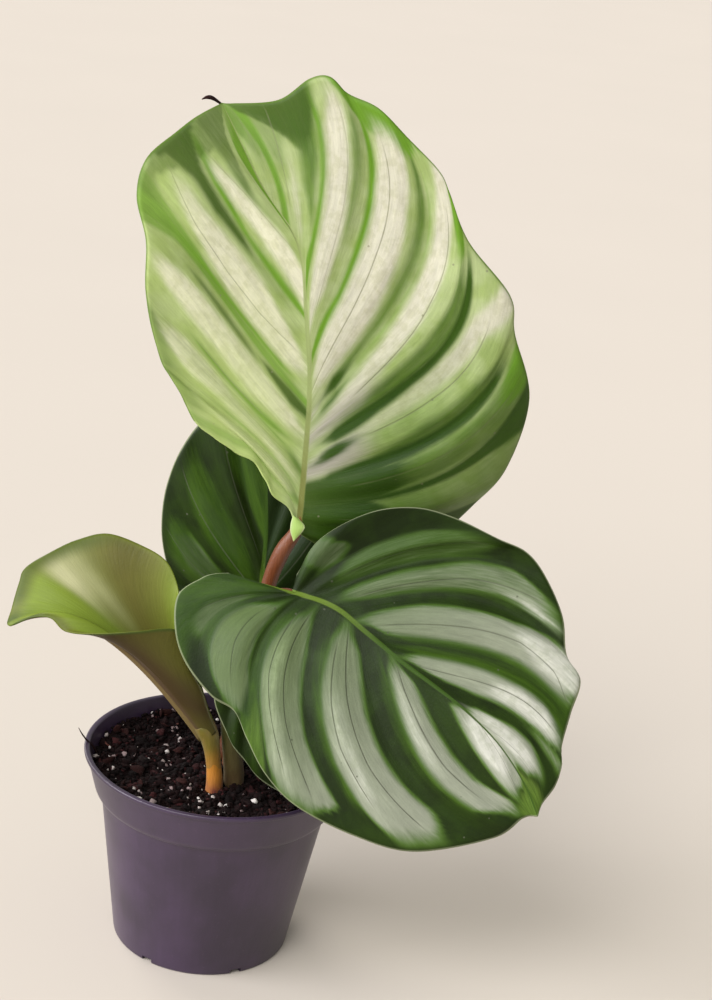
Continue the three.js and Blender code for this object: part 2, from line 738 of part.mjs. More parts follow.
function add(name, geometry, colour, roughness) {
  const material = new THREE.MeshStandardMaterial({ color: COLOURS[colour], roughness, metalness: 0 });
  material.name = name + '_finish';
  const mesh = new THREE.Mesh(geometry, material);
  mesh.name = name;
  group.add(mesh);
}

add('pot', potSolid(), 'pot', 0.45);
add('soil', soilSolid(), 'soil', 0.95);
add('upper_blade', bladeSolid(UPPER_BLADE), 'silver', 0.5);
add('front_blade', bladeSolid(FRONT_BLADE), 'silver', 0.5);
add('back_blade', bladeSolid(BACK_BLADE), 'green', 0.5);
const lowLeaf = toManifold(bladeSolid(LOW_BLADE)).add(toManifold(stemSolid(LOW_STEM)));
add('low_leaf', toGeometry(lowLeaf), 'green', 0.5);
add('young_blade', youngSolid(YOUNG_BLADE), 'young', 0.5);
for (const [name, stem] of Object.entries(STEMS)) {
  add(name + '_stem', stemSolid(stem), stem.colour, 0.5);
}

export default group;
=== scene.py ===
"""Potted round-leaf calathea: fine leaves, stems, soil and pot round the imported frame.

Blades are worked out in millimetres from the same tables as the frame, and become metres when a piece
is made. Each blade vertex carries its place among the veins, and the materials draw the bands from it.
"""

import math
import random

import bmesh
import bpy
import numpy as np
from mathutils import Matrix, Vector, noise


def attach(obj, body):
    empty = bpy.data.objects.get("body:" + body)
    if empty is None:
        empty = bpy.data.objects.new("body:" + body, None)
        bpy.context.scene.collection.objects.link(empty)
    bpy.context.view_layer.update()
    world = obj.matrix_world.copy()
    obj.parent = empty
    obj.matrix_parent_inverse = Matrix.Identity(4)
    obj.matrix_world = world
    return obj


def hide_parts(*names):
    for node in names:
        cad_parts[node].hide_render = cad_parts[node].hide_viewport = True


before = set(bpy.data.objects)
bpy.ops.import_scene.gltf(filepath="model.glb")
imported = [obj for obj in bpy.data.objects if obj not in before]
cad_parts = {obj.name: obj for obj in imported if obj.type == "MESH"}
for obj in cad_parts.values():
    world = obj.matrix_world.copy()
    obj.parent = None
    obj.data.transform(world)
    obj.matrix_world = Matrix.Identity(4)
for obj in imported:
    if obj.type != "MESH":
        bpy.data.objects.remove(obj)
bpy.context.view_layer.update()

MM = 0.001
BODY = "root"

# Camera
TILT = 20.0
ROLL = -7.4
DISTANCE = 498.0
TARGET = (27.1, 0.0, 127.5)
FRAME_HEIGHT = 1000
FOCAL_PIXELS = 2000.0
SENSOR = 36.0
NEAR_END = 0.02

# Relief of the blades, a little deeper than in the frame
PLEAT = 0.78
PLEAT_FULLNESS = 0.8
EDGE_WAVE = 0.6
EDGE_POWER = 4
FULL_RELIEF_SPAN = 15
PROBE = 0.1

# Fine form of the blades
HALF_THICKNESS = 0.24
EDGE_THINNING = 0.7
EDGE_REACH = 0.5
RIB_RISE = 0.16
RIB_HALF_WIDTH = 0.75
RIDGE_HALF_WIDTH = 1.1
RIB_CROWDING = 0.12
TIP_GAP = 0.25
SPACING_LIMITS = (1.5, 30)
RIPPLE_BANDS = 0.4
RIPPLE_WAY = (0.74, 0.67, 0)


def rows_of(text):
    """Rows of numbers from text, with a comma or the end of a line after each row."""
    rows = text.replace("\n", ",").split(",")
    return [[float(word) for word in row.split()] for row in rows if row.strip()]


def marks_of(text):
    """Markings by kind from text: a line with the kind, then a line for each marking of that kind.

    Such a line holds the strength, a colon and the points. A line that is set in belongs to the one above.
    """
    marks = {}
    for line in text.replace("\n ", " ").split("\n"):
        strength, colon, points = line.partition(":")
        if colon:
            marks[kind].append([float(strength), *rows_of(points)])
        elif line:
            kind = line
            marks[kind] = []
    return marks


# Blade tables: base point, directions, rib through across, along and up, and the veins of each half as
# [band, place on rib, margin across, margin along, margin up, bow near rib, bow near margin].
# The ripple moves the left margin: [place along the vein, millimetres towards the rib].
UPPER_BLADE = {
    "base": [13.7, 1, 116.4], "along": [-0.06, 0.2, 1], "up": [0, -1, 0.2],
    "lift": 1.3, "puff": 0.03, "ridge": [1.4, 0.4],
    "ripple": rows_of("0 0, .16 1.1, .3 -.45, .41 .5, .54 1.3, .68 -.5, .81 -1.2, .92 -1.5, 1 -1.1"),
    "rib": rows_of("0 0 0, .5 18.5 -1, .5 37 -1.5, -1.5 54 -2, -4.5 71 -3, -14 84.5 -4, -26 105 -8"),
    "left": rows_of("""
        .7 0 -26 28.7 11.3 -.08 -.07, 1 .03 -29 33 12.2 -.1 -.08, 1.5 .05 -33 38.5 12.8 -.11 -.04,
        2 .07 -36 43.5 13 -.11 0, 3 .166 -40 58 12.5 .04 0, 3.5 .23 -40.7 70.5 11 .03 -.03,
        4 .3 -44 81 8 .03 -.06, 4.5 .4 -42.5 90 4 .02 -.03, 5 .5 -36 97 1 0 0, 5.5 .72 -31 101.5 -3 0 0"""),
    "right": rows_of("""
        0 0 5 -3.2 -3 0 0, .3 .005 14 -5.5 -8 .02 .03, .6 .01 26 -4 -11 .06 .07,
        .8 .015 36 .5 -12 .09 .1, 1 .022 44 8.8 -10 .1 .1, 1.5 .04 51.2 19.4 -6 .12 .15,
        2 .065 55.2 37.6 0 .13 .2, 3 .121 50 54 5 .13 .26, 3.5 .155 48 63.3 5 .12 .32,
        4 .194 37 75.5 5 .1 .38, 4.5 .222 31.5 86.8 4 .09 .38, 4.7 .235 28.5 92 4 .08 .37,
        5 .252 20.8 99 3 .08 .37, 5.5 .3 13 105.8 1.5 .04 .34, 6 .36 5.2 109 0 0 .3,
        6.5 .43 .5 112.7 -.5 0 .23, 7 .506 -4.5 112 -2 0 .17, 7.5 .6 -12 106.5 -4.5 .06 .13,
        8 .725 -23.5 105 -7 .12 .1"""),
}

FRONT_BLADE = {
    "base": [14.2, -7, 103.6], "along": [0.8, -0.32, -0.47], "up": [0.05, -0.85, 0.5],
    "lift": 1.3, "puff": 0.05, "ridge": [1.4, 0.4],
    "rib": rows_of("""
        0 0 0, -4 10 1.5, -4.7 20 2.5, -5 30 3.2, -6 41 3.5, -6.8 51 3.2, -6.5 62 2.2, -4 73 1, 0 82 0"""),
    "left": rows_of("""
        0 0 -4 -2 1.5 0 0, .3 .006 -13.6 -3.3 5 0 .05, .6 .012 -26.4 1.5 8 .05 .08,
        .8 .017 -35.3 9 8.5 .1 .1, 1 .022 -40.3 18 8 .13 .09, 1.4 .035 -44 29.5 5.5 .12 .12,
        1.7 .048 -46.8 37 3 .12 .16, 2 .063 -45.6 44.5 2 .12 .21, 2.5 .1 -41 54 .5 .15 .23,
        3 .151 -34.8 61 0 .18 .25, 3.4 .2 -32.3 67.7 -1 .14 .23, 4 .296 -24.6 71.4 -1 .06 .21,
        4.5 .36 -17 75 -1 .06 .25, 4.7 .4 -13.4 78.2 -1 .07 .27, 5 .445 -8.5 80.3 -1 .08 .28,
        5.5 .7 -3 80.8 -.5 .1 .2"""),
    "right": rows_of("""
        0 0 7.4 -14.9 1 0 0, .2 .004 10 -17.3 1.2 .01 .01, .4 .008 13 -18.9 1 .02 .02,
        .6 .012 20 -20.3 0 .04 .06, .8 .016 27 -14.5 0 .12 .22, .9 .019 31 -7 -.5 .2 .38,
        1 .022 32.5 3 -1 .31 .56, 1.5 .032 31.5 10 0 .28 .3, 2 .043 34.3 16.7 1 .27 .1,
        2.3 .06 37.5 26 -1 .27 .1, 2.6 .083 38 37 -2 .27 .1, 3 .11 33.7 52 -2 .27 .1,
        3.5 .17 26.5 65.5 -3 .22 .15, 4 .231 11 77.5 -2 .17 .23, 5 .41 2.5 79.7 -1 .03 .12"""),
}

BACK_BLADE = {
    "base": [6.8, 14, 85.2], "along": [-0.08, 0.12, 1], "up": [-0.1, -1, 0.12],
    "lift": 1.5, "puff": 0.05, "ridge": [1, 0.3],
    "rib": rows_of("0 0 0, -.3 10 1, .3 23 1, 0 36 1, -.8 49 0, -2.7 61 -2"),
    "left": rows_of("""
        0 0 -6 -1.6 1 0 0, .4 .02 -15.4 1.2 1 .03 .03, .7 .035 -22 6.5 1 .07 .07,
        1 .05 -25.8 13 .5 .1 .1, 1.5 .065 -27.5 24 0 .12 .12, 2 .085 -26.2 36.5 0 .13 .13,
        3 .17 -19.5 50.5 -1 -.05 .08, 4 .35 -9 58.5 -2 .05 .08, 5 .65 -5.2 60.3 -2 0 .05"""),
    "right": rows_of("""
        0 0 6 -1.6 1 0 0, .4 .02 15 1.5 0 .03 .03, .7 .035 21 7.5 -1 .07 .07, 1 .05 24 15 -1 .1 .1,
        1.5 .065 25 25 -1 .12 .12, 2 .085 23.5 37 -1 .13 .13, 3 .17 16.5 50.5 -2 0 .08,
        4 .35 5.5 59 -2 .05 .08, 5 .65 2 60.7 -2 .03 .05"""),
}

LOW_BLADE = {
    "base": [2, -12, 82], "along": [0.72, -0.2, -0.67], "up": [-0.1, -1, 0.25],
    "lift": 1.4, "puff": 0.05, "ridge": [0.9, 0.3],
    "rib": rows_of("0 0 0, 0 10 .6, 0 20 .8, 0 30 .4, 0 38.5 0"),
    "left": rows_of("""
        0 0 -3 -1 .6 0 0, .5 .04 -7.5 3.5 1 .05 .05, 1 .09 -10 11 1 .1 .1, 2 .24 -11 20 .5 .1 .1,
        3 .45 -9 29 .5 .08 .1, 4 .68 -4.5 36.4 0 .05 .1"""),
    "right": rows_of("""
        0 0 3 -1.2 .6 0 0, .5 .04 7.8 2.4 1 .05 .05, 1 .09 10.9 11 1 .1 .1, 2 .24 11.9 19.5 .5 .1 .1,
        3 .45 10.8 29 .5 .08 .1, 4 .68 5.5 36.6 0 .05 .1"""),
}

# Markings of each half: areas as [place along the vein, lower band, upper band] points, thread lines as
# [place along the vein, band] points.
# The dark area along the upper part of the left margin, over bands 4.1 to 6.1, is painted shade of the wavy
# margin
UPPER_LEFT_MARKS = marks_of("""
lime
.9: 0 5.45 6.1, .3 5.55 6.1, .5 5.65 6.1, .7 5.85 6.1
1: 0 4.95 5.03, .2 4.9 5.03, .45 4.92 5, .7 5 5.1, .95 5.1 5.25
1: .1 4.02 4.1, .3 4 4.08, .5 3.95 4.05, .8 3.95 4.1, 1 3.8 4.3
.8: .02 3.83 4, .2 3.83 4.05, .5 3.86 4.02, .8 3.9 4.2, 1 3.7 4.4
1: .1 3.08 3.18, .25 3 3.15, .45 3.02 3.1, .7 3.05 3.12
.9: .1 2.85 3, .2 2.92 3.02, .35 2.97 3.03
.7: .05 2.03 2.15, .2 2.05 2.15, .45 2.03 2.2, .65 2 2.1
.6: .02 1.5 2, .08 1.2 1.8, .15 1 1.3, .4 .9 1.1, 1 .7 .9
green
.45: .1 4.75 4.92, .3 4.76 4.92, .5 4.76 4.92
.4: .3 3.62 3.8, .45 3.64 3.82, .65 3.66 3.8
.8: .02 2.5 2.8, .08 2.55 2.95, .13 2.72 2.93
.4: .2 5.3 5.4, .5 5.25 5.35, .7 5.15 5.3
.65: .84 2 2.6, .93 1.9 2.7, 1 1.8 2.9
.65: .78 1.1 1.5, .9 1 1.8, 1 .9 1.9
dark
.6: .4 5.26 5.36, .55 5.28 5.46, .7 5.32 5.7, .85 5.3 6.1, 1 5.3 6.1
.85: .4 4.8 4.9, .65 4.76 4.95, .8 4.8 5, .95 4.7 5.2, 1 4.5 5.4
.55: .72 5.6 6.1, .82 5.15 6.1, .9 4.6 6.1, .97 4.2 6.1, 1 4.1 6.1
.6: .3 3.66 3.76, .5 3.66 3.8, .75 3.7 3.78
.9: .02 3.66 3.85, .1 3.62 3.88, .2 3.68 3.85, .3 3.74 3.8
.5: .88 4.1 4.3, .95 4.1 4.5, 1 4.1 4.6
cream
1: .02 5.05 5.25, .15 5.08 5.3, .4 5.1 5.28, .6 5.08 5.25, .8 5.1 5.16
1: .03 4.2 4.45, .15 4.13 4.6, .3 4.12 4.72, .5 4.12 4.7, .7 4.3 4.65, .85 4.5 4.7
1: .03 3.3 3.5, .15 3.28 3.6, .3 3.22 3.65, .5 3.25 3.62, .7 3.25 3.6, .95 3.3 3.5
.9: .45 2.6 2.85, .6 2.35 2.95, .75 2.3 2.95, .92 2.5 2.8
.65: .08 2.15 2.5, .3 2.2 2.8, .6 2.2 2.8
.55: .12 1.3 1.8, .35 1.2 1.85, .6 1.15 1.8, .75 1.2 1.5
line
.6: .1 4.42, .3 4.34, .5 4.33, .7 4.4, .9 4.64
.6: .25 3.11, .5 3.09, .7 3.1
.4: .1 5.3, .5 5.27, .8 5.2
.3: .2 2.5, .9 2.45
.3: .2 1.5, .9 1.45""")

# In the right half, the broad dark and green areas over bands 0 to 2.9 are painted shade on the lower lobe
# The lilac marks of the right half, near the rib, are a painted reflection
UPPER_RIGHT_MARKS = marks_of("""
lime
1: .05 7.05 7.25, .15 7.05 7.33, .3 7 7.15, .45 6.98 7.1, .6 6.98 7.09, .8 7.03 7.12, .95 7.1 7.2
1: .02 6 6.15, .15 5.9 6.12, .3 5.87 6, .5 5.93 6.05, .7 5.97 6.1, .95 6 6.13
.9: 0 7.98 8.12, .3 7.97 8.12, .6 7.94 8.15, 1 7.9 8.3
.4: 0 8.5 9.1, .3 8.55 9.1, .6 8.3 9.1, 1 8.1 9.1
.5: .2 4.94 5, .5 5 5.05, .9 5 5.06
.9: .86 5.5 5.7, .92 5.2 6.3, 1 4.9 6.7
.9: .84 4.35 4.6, .92 4.2 4.65, 1 4.1 4.6
.7: .85 2.4 2.7, .92 2.3 2.8, 1 2.2 2.9
green
.8: .32 7.15 7.3, .5 7.18 7.5, .7 7.13 7.5, .9 7.1 7.8, 1 7 8.3
.55: .42 6.26 6.35, .6 6.26 6.46, .75 6.22 6.52, .92 6.22 6.45
.7: .08 5 5.15, .12 4.98 5.2, .3 5.06 5.22, .5 5.08 5.27, .8 5.1 5.3, .95 5.2 5.3
.7: .04 4.6 4.8, .08 4.62 4.9, .15 4.72 4.95, .22 4.84 4.93
.75: .1 4.02 4.22, .3 4.06 4.4, .6 4.08 4.45, .85 4.08 4.4
.7: .25 2.95 3.2, .45 3 3.5, .7 3 3.5, .9 3 3.25
.65: 0 2 2.8, .2 2 2.8, .5 2.05 2.75, .8 2.1 2.75, 1 2.1 2.8
.5: .3 1.1 1.9, .6 1.1 1.9, 1 1 1.9
.55: .35 8.2 8.5, .6 8.1 8.6, 1 8 9
.5: .45 7.78 7.95, .7 7.68 7.95, .85 7.5 8, 1 7.4 8.2
.6: 0 0 1.8, .3 0 1.8, .5 0 1.2, 1 0 .9
.7: .1 8.8 9.1, .4 8.6 9.1, .7 8.2 9.1, 1 8 9.1
dark
.75: .7 7.32 7.48, .8 7.2 7.7, .9 7.1 7.95, 1 7.1 8.4
.95: .08 5 5.14, .14 4.94 5.2, .22 5 5.12
.6: .04 4.6 4.78, .09 4.66 4.88, .15 4.74 4.92, .2 4.84 4.9
1: .06 3.8 3.93, .12 3.75 4.03, .2 3.8 4.1, .3 3.9 4.13, .45 3.98 4.15, .6 4 4.14, .8 3.96 4.15,
  .95 3.97 4.1
1: .03 3.26 3.47, .07 3.33 3.66, .12 3.45 3.73, .2 3.6 3.74
1: .04 2.62 2.82, .1 2.66 3.02, .2 2.7 3.12, .35 2.72 3.13, .5 2.77 3.12, .7 2.75 3.1, .9 2.8 3.05
.85: 0 1.6 2.9, .15 1.7 2.95, .3 1.9 2.85, .42 2.1 2.7
.9: 0 1.85 2.1, .2 1.85 2.06, .4 1.88 2.04, .6 1.88 2.06, .8 1.88 2.15, 1 1.8 2.3
.8: 0 .85 1.2, .5 .88 1.12, 1 .85 1.1
.8: 0 0 .25, .5 0 .1, 1 0 .1
.92: 0 0 2, .25 0 2, .42 0 1.6, .62 0 .6
cream
1: .05 6.45 6.6, .12 6.48 6.8, .25 6.35 6.88, .4 6.38 6.9, .6 6.48 6.95, .8 6.55 7, .95 6.5 6.8
1: .05 5.3 5.8, .15 5.28 5.88, .3 5.25 5.85, .7 5.45 5.95, .92 5.4 5.85
1: .05 4.2 4.5, .12 4.35 4.62, .2 4.45 4.78, .3 4.55 4.87, .45 4.65 4.94, .6 4.7 4.97, .8 4.72 4.94,
  1 4.6 4.8
1: .05 3.1 3.3, .1 3.6 3.7, .2 3.68 3.8, .3 3.7 3.9, .45 3.75 3.98, .6 3.76 3.97, .8 3.72 3.9,
  1 3.35 3.6
.5: .1 7.6 7.85, .3 7.6 7.85, .5 7.58 7.75, .7 7.58 7.68
line
.8: .02 5.55, .3 5.6, .5 5.68, .85 5.76
.8: .22 4.52, .4 4.62, .6 4.71, .88 4.75
.7: .25 3.66, .5 3.7, .85 3.69
.5: .2 7.9, .5 7.82, .95 7.68
.4: .15 6.42, .5 6.5, .9 6.6
.4: .2 2.45, .9 2.45
.4: .2 1.5, .9 1.5
lilac
.9: 0 2.9 3.5, .1 3 3.7, .25 3.1 3.8
.8: 0 3.9 4.6, .12 4.1 4.6, .3 4.3 4.6
.5: 0 4.7 5.2, .1 4.9 5.3""")

# The weaker silver areas over bands 1 to 2.9 stand for silver in shade, a painted shade
FRONT_LEFT_MARKS = marks_of("""
green
.7: 0 5.85 6.1, .5 5.75 6.1, 1 5.5 6.1
.7: .1 4.02 4.3, .4 4.02 4.3, .7 4.05 4.3, 1 4.1 4.6
.7: .1 3.78 3.92, .4 3.82 3.98, .7 3.84 4, 1 3.9 4.2
.5: .15 2.86 2.95, .5 2.82 2.92, .8 2.76 2.9
.5: .1 1.8 2, .4 1.95 2.05, .8 1.9 2.1
.4: .1 .4 .9, .3 .2 .7, .6 .05 .4, .8 0 .3
silver
1: 0 5.4 5.75, .1 5.32 5.72, .25 5.2 5.64, .4 5.2 5.62, .55 5.15 5.6, .7 5.15 5.5, .82 5.2 5.4
1: .07 4.5 4.6, .12 4.4 4.75, .2 4.28 4.87, .35 4.26 4.92, .5 4.27 4.88, .7 4.3 4.84, .85 4.28 4.76,
  .97 4.4 4.6
.7: .7 4.92 4.97, .85 4.84 4.95, 1 4.7 4.84
1: .04 3.4 3.55, .08 3.35 3.75, .15 3.32 3.8, .3 3.27 3.83, .5 3.3 3.84, .7 3.28 3.86, .85 3.1 3.95,
  .96 2.95 4
.62: .05 2.55 2.7, .1 2.38 2.8, .18 2.26 2.88, .3 2.25 2.88, .5 2.25 2.83, .7 2.13 2.76, .85 2.15 2.78,
  .96 2.4 2.8
.33: .12 1.6 1.85, .2 1.35 1.92, .3 1.12 1.95, .45 1.05 2, .6 1.08 2, .75 1.1 1.87, .92 1.2 1.6
.6: .18 .85 .98, .3 .55 .98, .45 .35 .85, .6 .28 .58, .8 .22 .42, 1 .18 .32
cream
.9: .15 5.25 5.5, .4 5.22 5.55, .6 5.25 5.5, .75 5.3 5.4
.8: .45 4.65 4.8, .7 4.35 4.8, .85 4.32 4.7, .95 4.4 4.6
.7: .65 3.4 3.5, .8 3.3 3.8, .92 3.1 3.8, 1 2.95 3.7
.7: .75 2.65 2.72, .85 2.6 2.76, .97 2.65 2.78
lime
.4: 0 5.72 6.1, .5 5.65 6.1, 1 5.4 6.1
line
.8: .12 4.66, .3 4.63, .6 4.56, .92 4.5
.7: .1 3.6, .4 3.59, .7 3.57, .88 3.68, .96 3.9
.7: .12 2.7, .4 2.65, .6 2.55, .9 2.5
.5: .2 1.6, .9 1.55
.5: .05 5.45, .3 5.45, .6 5.48""")

FRONT_RIGHT_MARKS = marks_of("""
green
.8: 0 5.8 6.1, .5 5.75 6.1, .8 5.55 6.1, 1 5 6.1
.7: .1 4.3 4.45, .3 4.22 4.38, .6 4.2 4.32, .85 4.25 4.4
.7: .1 3.22 3.4, .3 3.15 3.3, .6 3.1 3.22, .85 3.15 3.3
.9: .1 2.1 2.4, .3 1.95 2.25, .5 1.9 2.22, .7 1.9 2.25, 1 1.7 2.3
.8: .2 .95 1.1, .5 .95 1.08, .8 1 1.15
.9: .2 .4 .9, .4 .2 .85, .7 0 .8, 1 0 .9
silver
1: 0 5.35 5.78, .1 5.25 5.77, .25 5.22 5.74, .45 5.22 5.7, .6 5.25 5.6, .78 5.3 5.5
1: .06 4.6 4.8, .12 4.5 4.92, .25 4.4 4.86, .4 4.34 4.8, .55 4.3 4.8, .7 4.3 4.87, .85 4.4 5.2,
  .94 4.8 5.22
1: .05 3.5 3.8, .1 3.42 3.9, .2 3.36 3.88, .35 3.28 3.84, .5 3.24 3.83, .65 3.2 3.84, .8 3.26 3.88,
  .94 3.4 3.75
1: .06 2.6 2.75, .1 2.5 2.85, .2 2.34 2.96, .3 2.24 2.95, .45 2.22 2.9, .6 2.26 2.87, .75 2.32 2.9,
  .88 2.35 2.96, .97 2.4 2.75
1: .14 1.45 1.6, .22 1.25 1.7, .32 1.05 1.73, .45 1.04 1.76, .6 1.08 1.82, .75 1.13 1.98, .88 1.2 2,
  .96 1.3 1.6
.6: .28 .85 .92, .45 .65 .98, .6 .65 .98, .75 .7 .95, .88 .76 .86
cream
.9: 0 5.4 5.65, .2 5.3 5.6, .45 5.27 5.55, .6 5.35 5.5
.5: .1 4.5 4.6, .35 4.4 4.58, .6 4.35 4.5
.5: .3 3.35 3.6, .6 3.3 3.55, .8 3.35 3.5
.6: .2 2.45 2.65, .5 2.3 2.6, .75 2.4 2.6, .92 2.4 2.6
lime
.35: .7 2.1 2.28, .9 2 2.3, 1 1.95 2.3
.4: 0 5.78 6.1, .5 5.72 6.1, .8 5.5 6.1, 1 5.1 6.1
line
.9: .08 4.7, .2 4.62, .4 4.58, .6 4.57, .78 4.66
1: .06 3.7, .3 3.65, .6 3.63, .88 3.7
.9: .12 3.5, .35 3.42, .55 3.38, .78 3.42
1: .08 2.7, .4 2.67, .6 2.67, .88 2.76
.9: .12 2.42, .45 2.4, .6 2.45, .85 2.54
.8: .3 1.38, .55 1.42, .8 1.5
.6: 0 5.46, .3 5.55, .65 5.56
.5: .35 .82, .75 .8""")

BACK_LEFT_MARKS = marks_of("""
green
.9: 0 4.1 5, .3 4 4.9, .7 3.6 4.7, .95 3.5 4.4
.8: .1 2.4 3, .4 2.3 3.05, .7 2.4 3, .9 2.5 2.9
.8: .05 1.2 2.1, .3 1.1 2.1, .7 1.1 2, .9 1.2 1.8
.6: .1 .3 .8, .5 .3 .8, .9 .3 .7
silver
.5: .2 2.6 2.75, .4 2.5 2.9, .65 2.5 2.8, .8 2.6 2.7
.9: .2 1.75 1.9, .35 1.55 2.02, .5 1.45 2.05, .65 1.45 1.95, .8 1.55 1.75
.8: .15 .55 .75, .5 .4 .8, .85 .45 .65
line
.5: .1 2.5, .9 2.5
.5: .1 1.6, .9 1.6
.5: .1 3.6, .9 3.6""")

# The dark area over the whole right half is painted shade, as that half lies in shade behind the upper
# blade
BACK_RIGHT_MARKS = marks_of("""
green
.8: .05 3.3 3.9, .5 3.3 3.9, .9 3.3 3.8
.8: .05 2.2 2.9, .5 2.2 2.9, .9 2.3 2.8
.8: .05 1.2 1.9, .5 1.2 1.9, .9 1.3 1.8
.6: .05 .3 .8, .5 .3 .8, .9 .4 .7
silver
.6: .1 3.5 3.6, .4 3.35 3.7, .7 3.4 3.6
.7: .1 2.4 2.6, .4 2.3 2.75, .8 2.4 2.6
.7: .1 1.4 1.6, .4 1.3 1.75, .8 1.4 1.6
dark
.8: 0 0 4.9, 1 0 4.9
line
.5: .1 2.5, .9 2.5
.5: .1 1.5, .9 1.5""")

LOW_MARKS = {
    "green": [[0.4, [0.1, n + 0.3, n + 0.7], [0.5, n + 0.25, n + 0.75], [0.9, n + 0.3, n + 0.7]]
              for n in range(5)],
}

# The kinds of areas, each with the half width of its soft edge in millimetres
MARK_FEATHER = {"green": 1.5, "silver": 1.4, "lime": 0.9, "cream": 1.6, "dark": 1.0, "lilac": 2.5}
END_FEATHER = 4.2
LINE_END_FEATHER = 4
# Places along the vein between which the end of an area is soft
OPEN_ENDS = (0.02, 0.99)
# Stands for a distance in millimetres from a line, rib or margin that is not near
NO_LINE = 50.0

# Young blade, rolled to an open funnel, and stems, as in the frame
YOUNG_BLADE = {
    "base": [-2.4, -8.5, 62.3], "along": [-0.62, -0.02, 0.78], "up": [0, -1, 0],
    "throat": 2.2, "seam_start": 21, "seam_turn": 326, "flare": 0.75, "tip_flare": 0.27,
    "tip_spread": 0.15, "belly": 1.9, "lean": 2, "tip_place": 0.41,
    "mouth": rows_of("""
        8.7 26.3 2, 9.5 30.7 4, 2.1 36.2 7.8, -6 40.6 8.2, -12.9 44.5 6.6, -15 48.8 4.5, -19.8 50.8 2.5,
        -26.9 51.5 .5, -24.8 54.1 -2.6, -20.6 58 -5.7, -17.4 60.2 -7.7, -10.4 59.7 -10.7,
        -3.6 58.5 -12.7, 3.8 55.6 -13.6, 10.1 48.2 -12.5, 13.4 42.5 -10.4, 13.3 36.7 -7.2, 11.8 33 -3.2"""),
}

STEMS = {
    "upper_stem": {
        "path": rows_of("""
            3 4 36, 3 4 46, 3 4 50, 4.6 3.2 75, 7.5 2.8 99, 10 2.6 109.5, 12.8 2.5 115.4,
            13.7 2.4 118.5, 13.5 3.4 124"""),
        "radii": [2, 2, 2, 1.9, 1.9, 2.1, 1.7, 1.3, 0.5],
        "skin": "rust", "slot": "rust_stem", "node": "upper_stem",
    },
    "front_stem": {
        "path": rows_of("""
            12 2.5 36, 12 2.5 46, 12 2.5 52, 9.6 -.6 72, 8 -3 92, 9.6 -3.8 99.8, 13.1 -5.2 102.2,
            16.2 -6.5 101.8, 18.8 -7.5 98.6"""),
        "radii": [1.9, 1.9, 1.9, 1.7, 1.6, 1.6, 1.4, 1.1, 0.5],
        "skin": "rust", "slot": "rust_stem", "node": "front_stem",
    },
    "back_stem": {
        "path": rows_of("""
            1 9.5 36, 1 9.5 46, 1 9.5 50, 2.5 12 63, 5.6 14.6 76, 6.7 15 83.8, 6.6 15.4 89, 5.9 16.2 94"""),
        "radii": [1.8, 1.8, 1.8, 1.5, 1.4, 1.3, 0.9, 0.4],
        "skin": "rust", "slot": "rust_stem", "node": "back_stem",
    },
    "young_stem": {
        "path": rows_of(".2 -8.7 36, .2 -8.7 45, .2 -8.7 49, -.7 -8.6 55, -1.9 -8.5 61, -3.2 -8.5 63.4"),
        "radii": [2.3, 2.25, 2.15, 1.9, 1.9, 1.85],
        "skin": "amber", "slot": "amber_stem", "node": "young_stem",
    },
    "low_stem": {
        "path": rows_of("""
            4.8 -4.2 36, 4.8 -4.2 45, 4.8 -4.2 49, 3.7 -4.4 55.5, 2 -5 64, 1 -6.8 72, 1.1 -9.4 78.6,
            1.8 -11.3 81.6, 3.8 -12.1 80.2, 5.6 -12.5 77.9"""),
        "radii": [2.7, 2.7, 2.7, 2.5, 2.1, 1.8, 1.4, 1, 0.7, 0.3],
        "skin": "olive", "slot": "rust_stem", "node": "low_leaf",
    },
}

# Pot and soil, as in the frame
POT_HEIGHT = 53.0
LIP_RADIUS = 35.0
LIP_HEIGHT = 1.1
LIP_WIDTH = 1.4
COLLAR_TOP_RADIUS = 34.3
COLLAR_FOOT_RADIUS = 31.4
COLLAR_FOOT_HEIGHT = 41.3
WALL_TOP_RADIUS = 29.7
FOOT_RADIUS = 23.3
WALL = 0.9
LEDGE = 1.0
FLOOR = 2.5
CHANNEL_INNER = 16.0
CHANNEL_OUTER = 21.4
CHANNEL_HEIGHT = 1.5
CHANNEL_SLOPE = 0.6
DRAIN_COUNT = 6
DRAIN_RADIUS = 2.0
DRAIN_PLACE = 18.7
NOTCH_WIDTH = 3.0
NOTCH_HEIGHT = 1.4
NOTCH_GAP = 0.2
POT_SIDES = 180
SOIL_TOP = 47.0
SOIL_FOOT = FLOOR + 0.4
SOIL_LUMP = 0.5
SOIL_EDGE_DROP = 0.6
SOIL_BANK = 2.0
SOIL_BANK_SPAN = (19.0, 31.5)
SOIL_CLEARANCE = 0.3
SOIL_SIDES = 300
SOIL_RINGS = 75


# Numbers and curves

def steps_in(points, place):
    """Rows of values, and for each place from 0 to 1 the row before it and the way on to the next row."""
    rows = np.array(points, float)
    last = len(rows) - 1
    x = np.clip(np.asarray(place, float), 0, 1) * last
    i = np.minimum(x.astype(int), last - 1)
    return rows, i, (x - i)[..., None]


def catmull(points, place):
    """A smooth curve through rows of values that lie evenly between place 0 and 1."""
    rows, i, f = steps_in(points, place)
    padded = np.concatenate([[2 * rows[0] - rows[1]], rows, [2 * rows[-1] - rows[-2]]])
    a, b, c, d = padded[i], padded[i + 1], padded[i + 2], padded[i + 3]
    return b + 0.5 * ((c - a) * f + (2 * a - 5 * b + 4 * c - d) * f**2 + (3 * b - a - 3 * c + d) * f**3)


def linear(points, place):
    rows, i, f = steps_in(points, place)
    return rows[i] + (rows[i + 1] - rows[i]) * f


def bell(value, spread):
    return np.exp(-((value / spread) ** 2))


